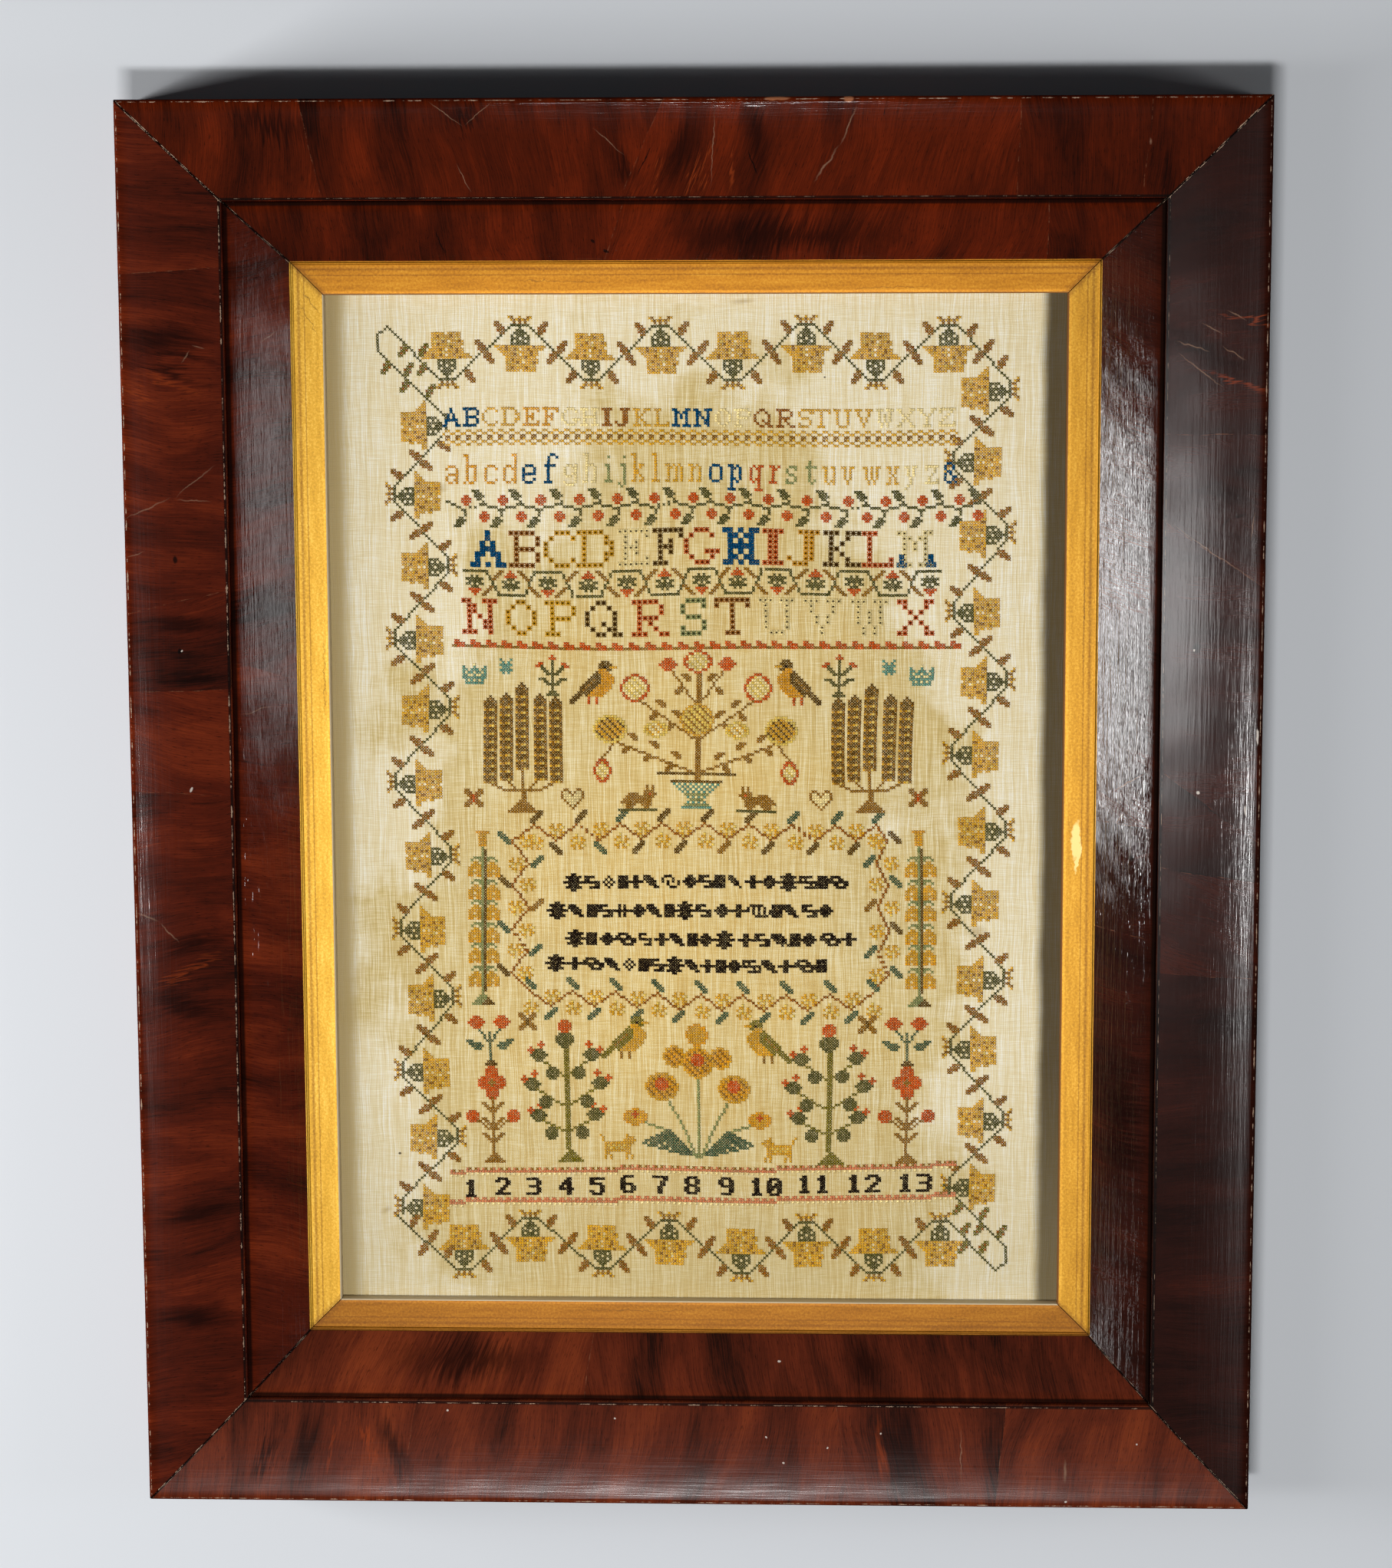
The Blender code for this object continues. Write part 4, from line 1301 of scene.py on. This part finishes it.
# %% [markdown]
# ## Working the crosses
#
# A cross is two slanting stitches, the second over the first. Each is a short length of twisted wool or silk
# that rises from one corner of its square, passes over the middle and goes down at the other. One such
# thread is a prism with a triangular section. Its corners are worked out for every cross at once, with a
# little seeded unevenness and a slow drift of the whole field, because nobody pulls each stitch alike.

# %% One thread
CROSS = 1.25 * MM
# ridge height at the ends, ridge height in the middle, and thickness, over the linen
UNDER = (0.17 * MM, 0.17 * MM, 0.19 * MM)
OVER = (0.14 * MM, 0.38 * MM, 0.28 * MM)
EYELET = (0.20 * MM, 0.20 * MM, 0.22 * MM)
EYELET_THREAD = 0.85 * MM
uneven = np.random.default_rng(41)


def ring_of(count):
    """The directions of `count` points round a circle."""
    turns = np.arange(count) * 2 * math.pi / count
    return np.stack([np.cos(turns), np.sin(turns)], 1)


def drift(places):
    """How the counted grid has slipped: up to 0.8 mm, as slow waves over the field."""
    wander = [rolling(places[:, 0], places[:, 1], 1.6 * MM, (0.09, 0.25), seed) for seed in (11, 12)]
    return places + np.stack(wander, 1)


def threads_between(starts, stops, heights, wide, stations):
    """Prisms from starts to stops, (n, 2) arrays. At share t of the way the ridge is at
    ends_z + (peak_z - ends_z) * sin(pi t), and the two lower edges lie `thick` below it, half `wide` to
    either side."""
    ends_z, peak_z, thick = heights
    count = len(starts)
    t = np.linspace(0, 1, stations)
    along = stops - starts
    side = np.stack([-along[:, 1], along[:, 0]], 1) / np.hypot(along[:, 0], along[:, 1])[:, None]
    middle = starts[:, None] + along[:, None] * t[None, :, None]
    width = wide[:, None, None] * side[:, None] / 2 * (0.75 + 0.25 * np.sin(math.pi * t))[None, :, None]
    ridge_z = ends_z + (peak_z - ends_z) * np.sin(math.pi * t)
    points = np.empty((count, stations, 3, 3))
    for corner, shift in enumerate((width, -width, 0)):
        points[:, :, corner, :2] = middle + shift
    points[:, :, :2, 2] = (ridge_z - thick)[None, :, None]
    points[:, :, 2, 2] = ridge_z[None]
    faces = []
    for a in range(0, 3 * stations - 3, 3):
        for k in range(3):
            n = (k + 1) % 3
            faces += [(a + k, a + 3 + k, a + 3 + n), (a + k, a + 3 + n, a + n)]
    last = 3 * stations - 3
    faces += [(0, 1, 2), (last + 2, last + 1, last)]
    faces = np.array(faces)[None] + (np.arange(count) * 3 * stations)[:, None, None]
    # painted highlight and shade: a stitch's tone is highest on its crest and lowest at its ends, where it
    # dives into the cloth, and an under stitch or eyelet thread is a darker 0.35 all along; each stitch's own
    # dye adds a random offset
    crest = np.sin(math.pi * t) if stations > 2 else np.full(stations, 0.35)
    tone = crest[None, :, None] + uneven.normal(0, 0.16, (count, 1, 1)) + np.zeros((1, 1, 3))
    return points.reshape(-1, 3), faces.reshape(-1, 3), tone.ravel()


print(f"a cross is {CROSS / MM} mm wide and rises {OVER[1] / MM:.2f} mm over the linen")

# %% [markdown]
# A cross is then two such threads, corner to corner. An eyelet is eight, from the rim of a block of two
# squares by two to the hole in its middle, longer towards the corners, so that the ring comes out square.

# %% Crosses and eyelets
def crosses(squares, thick):
    """Both stitches of every square in an (n, 2) array of columns and rows, with a thread `thick` metres
    wide."""
    middle = drift(squares * (CROSS, -CROSS))
    middle += uneven.normal(0, 0.05 * MM, middle.shape)
    reach = 0.5 * CROSS * uneven.uniform(0.92, 1.08, (len(squares), 1))
    wide = thick * uneven.uniform(0.85, 1.2, len(squares))
    return [threads_between(middle + reach * (-1, 1), middle + reach * (1, -1), UNDER, wide, 2),
            threads_between(middle + reach * (-1, -1), middle + reach * (1, 1), OVER, wide, 3)]


def eyelet_stitches(squares):
    """Eight straight stitches for each eyelet, from 1.25 or 0.98 to 0.32 crosses away from its middle."""
    middle = drift((squares + 0.5) * (CROSS, -CROSS))[:, None]
    ways = ring_of(8)
    rim = CROSS * np.where(np.arange(8) % 2, 1.25, 0.98)[:, None] * ways
    starts = (middle + rim).reshape(-1, 2)
    stops = (middle + 0.32 * CROSS * ways).reshape(-1, 2)
    return [threads_between(starts, stops, EYELET, np.full(len(starts), EYELET_THREAD), 2)]


print("an eyelet's first three directions:", ring_of(8)[:3].round(2).tolist())

# %% [markdown]
# ## Thread colours
#
# The threads are wool and silk dyed with plants, faded to tans, olives and browns, with indigo and madder the
# strongest. A dye takes unevenly, so each thread's colour wanders over a few millimetres, and a finer noise
# stands for the twist. Each stitch is painted lighter on its crest and darker at its ends, as painted
# highlight and shade. The fibre is matt.

# %% Dyed threads
def dyed(name, colour):
    """A spun thread: its colour varied by a fifth over 9 mm and by a tenth over a third of a millimetre, and
    by the tone at its corners: painted shade where a stitch dives into the cloth, a painted highlight on its
    crest, and the stitch's own dye."""
    material, shader, node = finish_named(name)
    mm = millimetres(node)
    dye = node("TexNoise", {"Vector": mm, "Scale": 1 / 9, "Detail": 3, "Roughness": 0.6})
    fibre = node("TexNoise", {"Vector": mm, "Scale": 3.0, "Detail": 2})
    crest = node("Attribute", out="Fac", attribute_name="stitch_shade_and_dye")
    value = node("Math MULTIPLY", [node("MapRange", [dye, 0.3, 0.7, 0.8, 1.16]),
                                   node("MapRange", [fibre, 0.3, 0.7, 0.86, 1.1])])
    # painted highlight and shade: the corners' tone darkens a stitch's ends and lightens its crest
    value = node("Math MULTIPLY", [value, node("MapRange", [crest, -0.1, 1.1, 0.5, 1.3])])
    shade = node("HueSaturation", {"Saturation": 1.15, "Value": value, "Color": colour})
    fill(shader, {"Base Color": shade, "Roughness": 0.8, "Specular IOR Level": 0.08})
    return material


# letter: name, colour, and the width of the thread in mm
THREADS = {
    "t": ("tan_silk", "#dfac50", 0.6), "b": ("russet_wool", "#905e14", 0.68),
    "g": ("olive_wool", "#4b4a26", 0.7), "G": ("moss_wool", "#6c6222", 0.66),
    "p": ("faded_madder_wool", "#cd6448", 0.72), "m": ("pale_madder_wool", "#d68a6e", 0.66),
    "o": ("gold_silk", "#dba133", 0.62), "a": ("amber_silk", "#e09a22", 0.68),
    "v": ("soot_brown_silk", "#20160f", 0.9), "k": ("bark_wool", "#5c3f17", 0.7),
    "r": ("rust_wool", "#96530f", 0.74), "e": ("dark_teal_wool", "#37523f", 0.66),
    "c": ("cream_silk", "#ffecb4", 0.74), "y": ("straw_silk", "#e8cc78", 0.64),
    "s": ("sage_wool", "#7f8a5c", 0.64), "l": ("indigo_wool", "#12496e", 0.95),
    "n": ("grey_blue_wool", "#5f9386", 0.7),
}
print(len(THREADS), "threads, the thickest", max(thick for _, _, thick in THREADS.values()), "mm")

# %% [markdown]
# All the crosses of one colour make one piece, built straight from the arrays, because Blender would need
# minutes to add so many stitches one by one.


def stitch_piece(name, points, faces, tone, material):
    """A mesh of loose triangles on the linen's own unevenness, with a tone of painted shade and dye at each
    corner.
    """
    points[:, 2] += linen_height(points[:, 0], points[:, 1])
    mesh = bpy.data.meshes.new(name)
    mesh.vertices.add(len(points))
    mesh.vertices.foreach_set("co", points.ravel())
    mesh.loops.add(faces.size)
    mesh.loops.foreach_set("vertex_index", faces.ravel().astype(np.int32))
    mesh.polygons.add(len(faces))
    mesh.polygons.foreach_set("loop_start", np.arange(0, faces.size, 3, dtype=np.int32))
    mesh.update(calc_edges=True)
    mesh.attributes.new("stitch_shade_and_dye", "FLOAT", "POINT").data.foreach_set("value", tone)
    mesh.shade_smooth()
    mesh.materials.append(material)
    piece = bpy.data.objects.new(name, mesh)
    link(piece)
    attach(piece, "root")


for letter, (name, colour, thick) in THREADS.items():
    crossed, pierced = (np.array([square for square, thread in worked.items() if thread == letter], float)
                        for worked in (chart, eyelets))
    batches = crosses(crossed, thick * MM)
    batches += eyelet_stitches(pierced) if len(pierced) else []
    points, faces, tone = (list(arrays) for arrays in zip(*batches))
    starts = np.cumsum([0] + [len(batch) for batch in points])
    faces = np.concatenate([batch + start for batch, start in zip(faces, starts)])
    finish = dyed(name.replace("_", " "), colour)
    stitch_piece(name, np.concatenate(points), faces, np.concatenate(tone), finish)
    print(f"{name}: {len(crossed)} crosses, {len(pierced)} eyelets, {len(faces)} triangles")

# %% [markdown]
# ## Eyelet holes
#
# Each eyelet is pulled open until the shade behind the linen shows. A real hole in the sheet for each would
# cost the mesh thousands of edges, so a small disc of painted shade stands in the ring of stitches.

# %% Eyelet holes
HOLE_RADIUS = 0.44 * MM
HOLE_TOP, HOLE_FOOT = 0.23 * MM, -0.1 * MM
middles = drift((np.array(list(eyelets), float) + 0.5) * (CROSS, -CROSS))
rims = np.concatenate([middles[:, None] + HOLE_RADIUS * ring_of(6)] * 2, 1)
heights = np.broadcast_to(np.repeat([HOLE_TOP, HOLE_FOOT], 6)[None, :, None], (len(middles), 12, 1))
points = np.concatenate([rims, heights], 2).reshape(-1, 3)
fans = [(0, k, k + 1) for k in range(1, 5)] + [(6, k + 1, k) for k in range(7, 11)]
upper, lower = np.arange(6), np.arange(6) + 6
following, under = np.roll(upper, -1), np.roll(lower, -1)
pieces = [fans, np.stack([upper, lower, under], 1), np.stack([upper, under, following], 1)]
faces = np.concatenate(pieces)[None] + (12 * np.arange(len(middles)))[:, None, None]
faces = faces.reshape(-1, 3)
# painted shade: each eyelet's hole is a small near-black disc
stitch_piece("eyelet_holes_painted_shade", points, faces, np.full(len(points), 0.5),
             dyed("painted shade in the eyelet holes", "#2c1c0a"))
print(len(middles), "holes")

# %% [markdown]
# ## Finish
#
# The dressed part has to keep the solid model's size. Both boxes are written down, so that they can be
# compared.

# %% Keep both boxes and finish
seen_box = [list(corner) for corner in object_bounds()]
sizes = [[round(1000 * (high - low), 2) for low, high in zip(*box)] for box in (solid_box, seen_box)]
print("solid", sizes[0], "dressed", sizes[1], "mm")
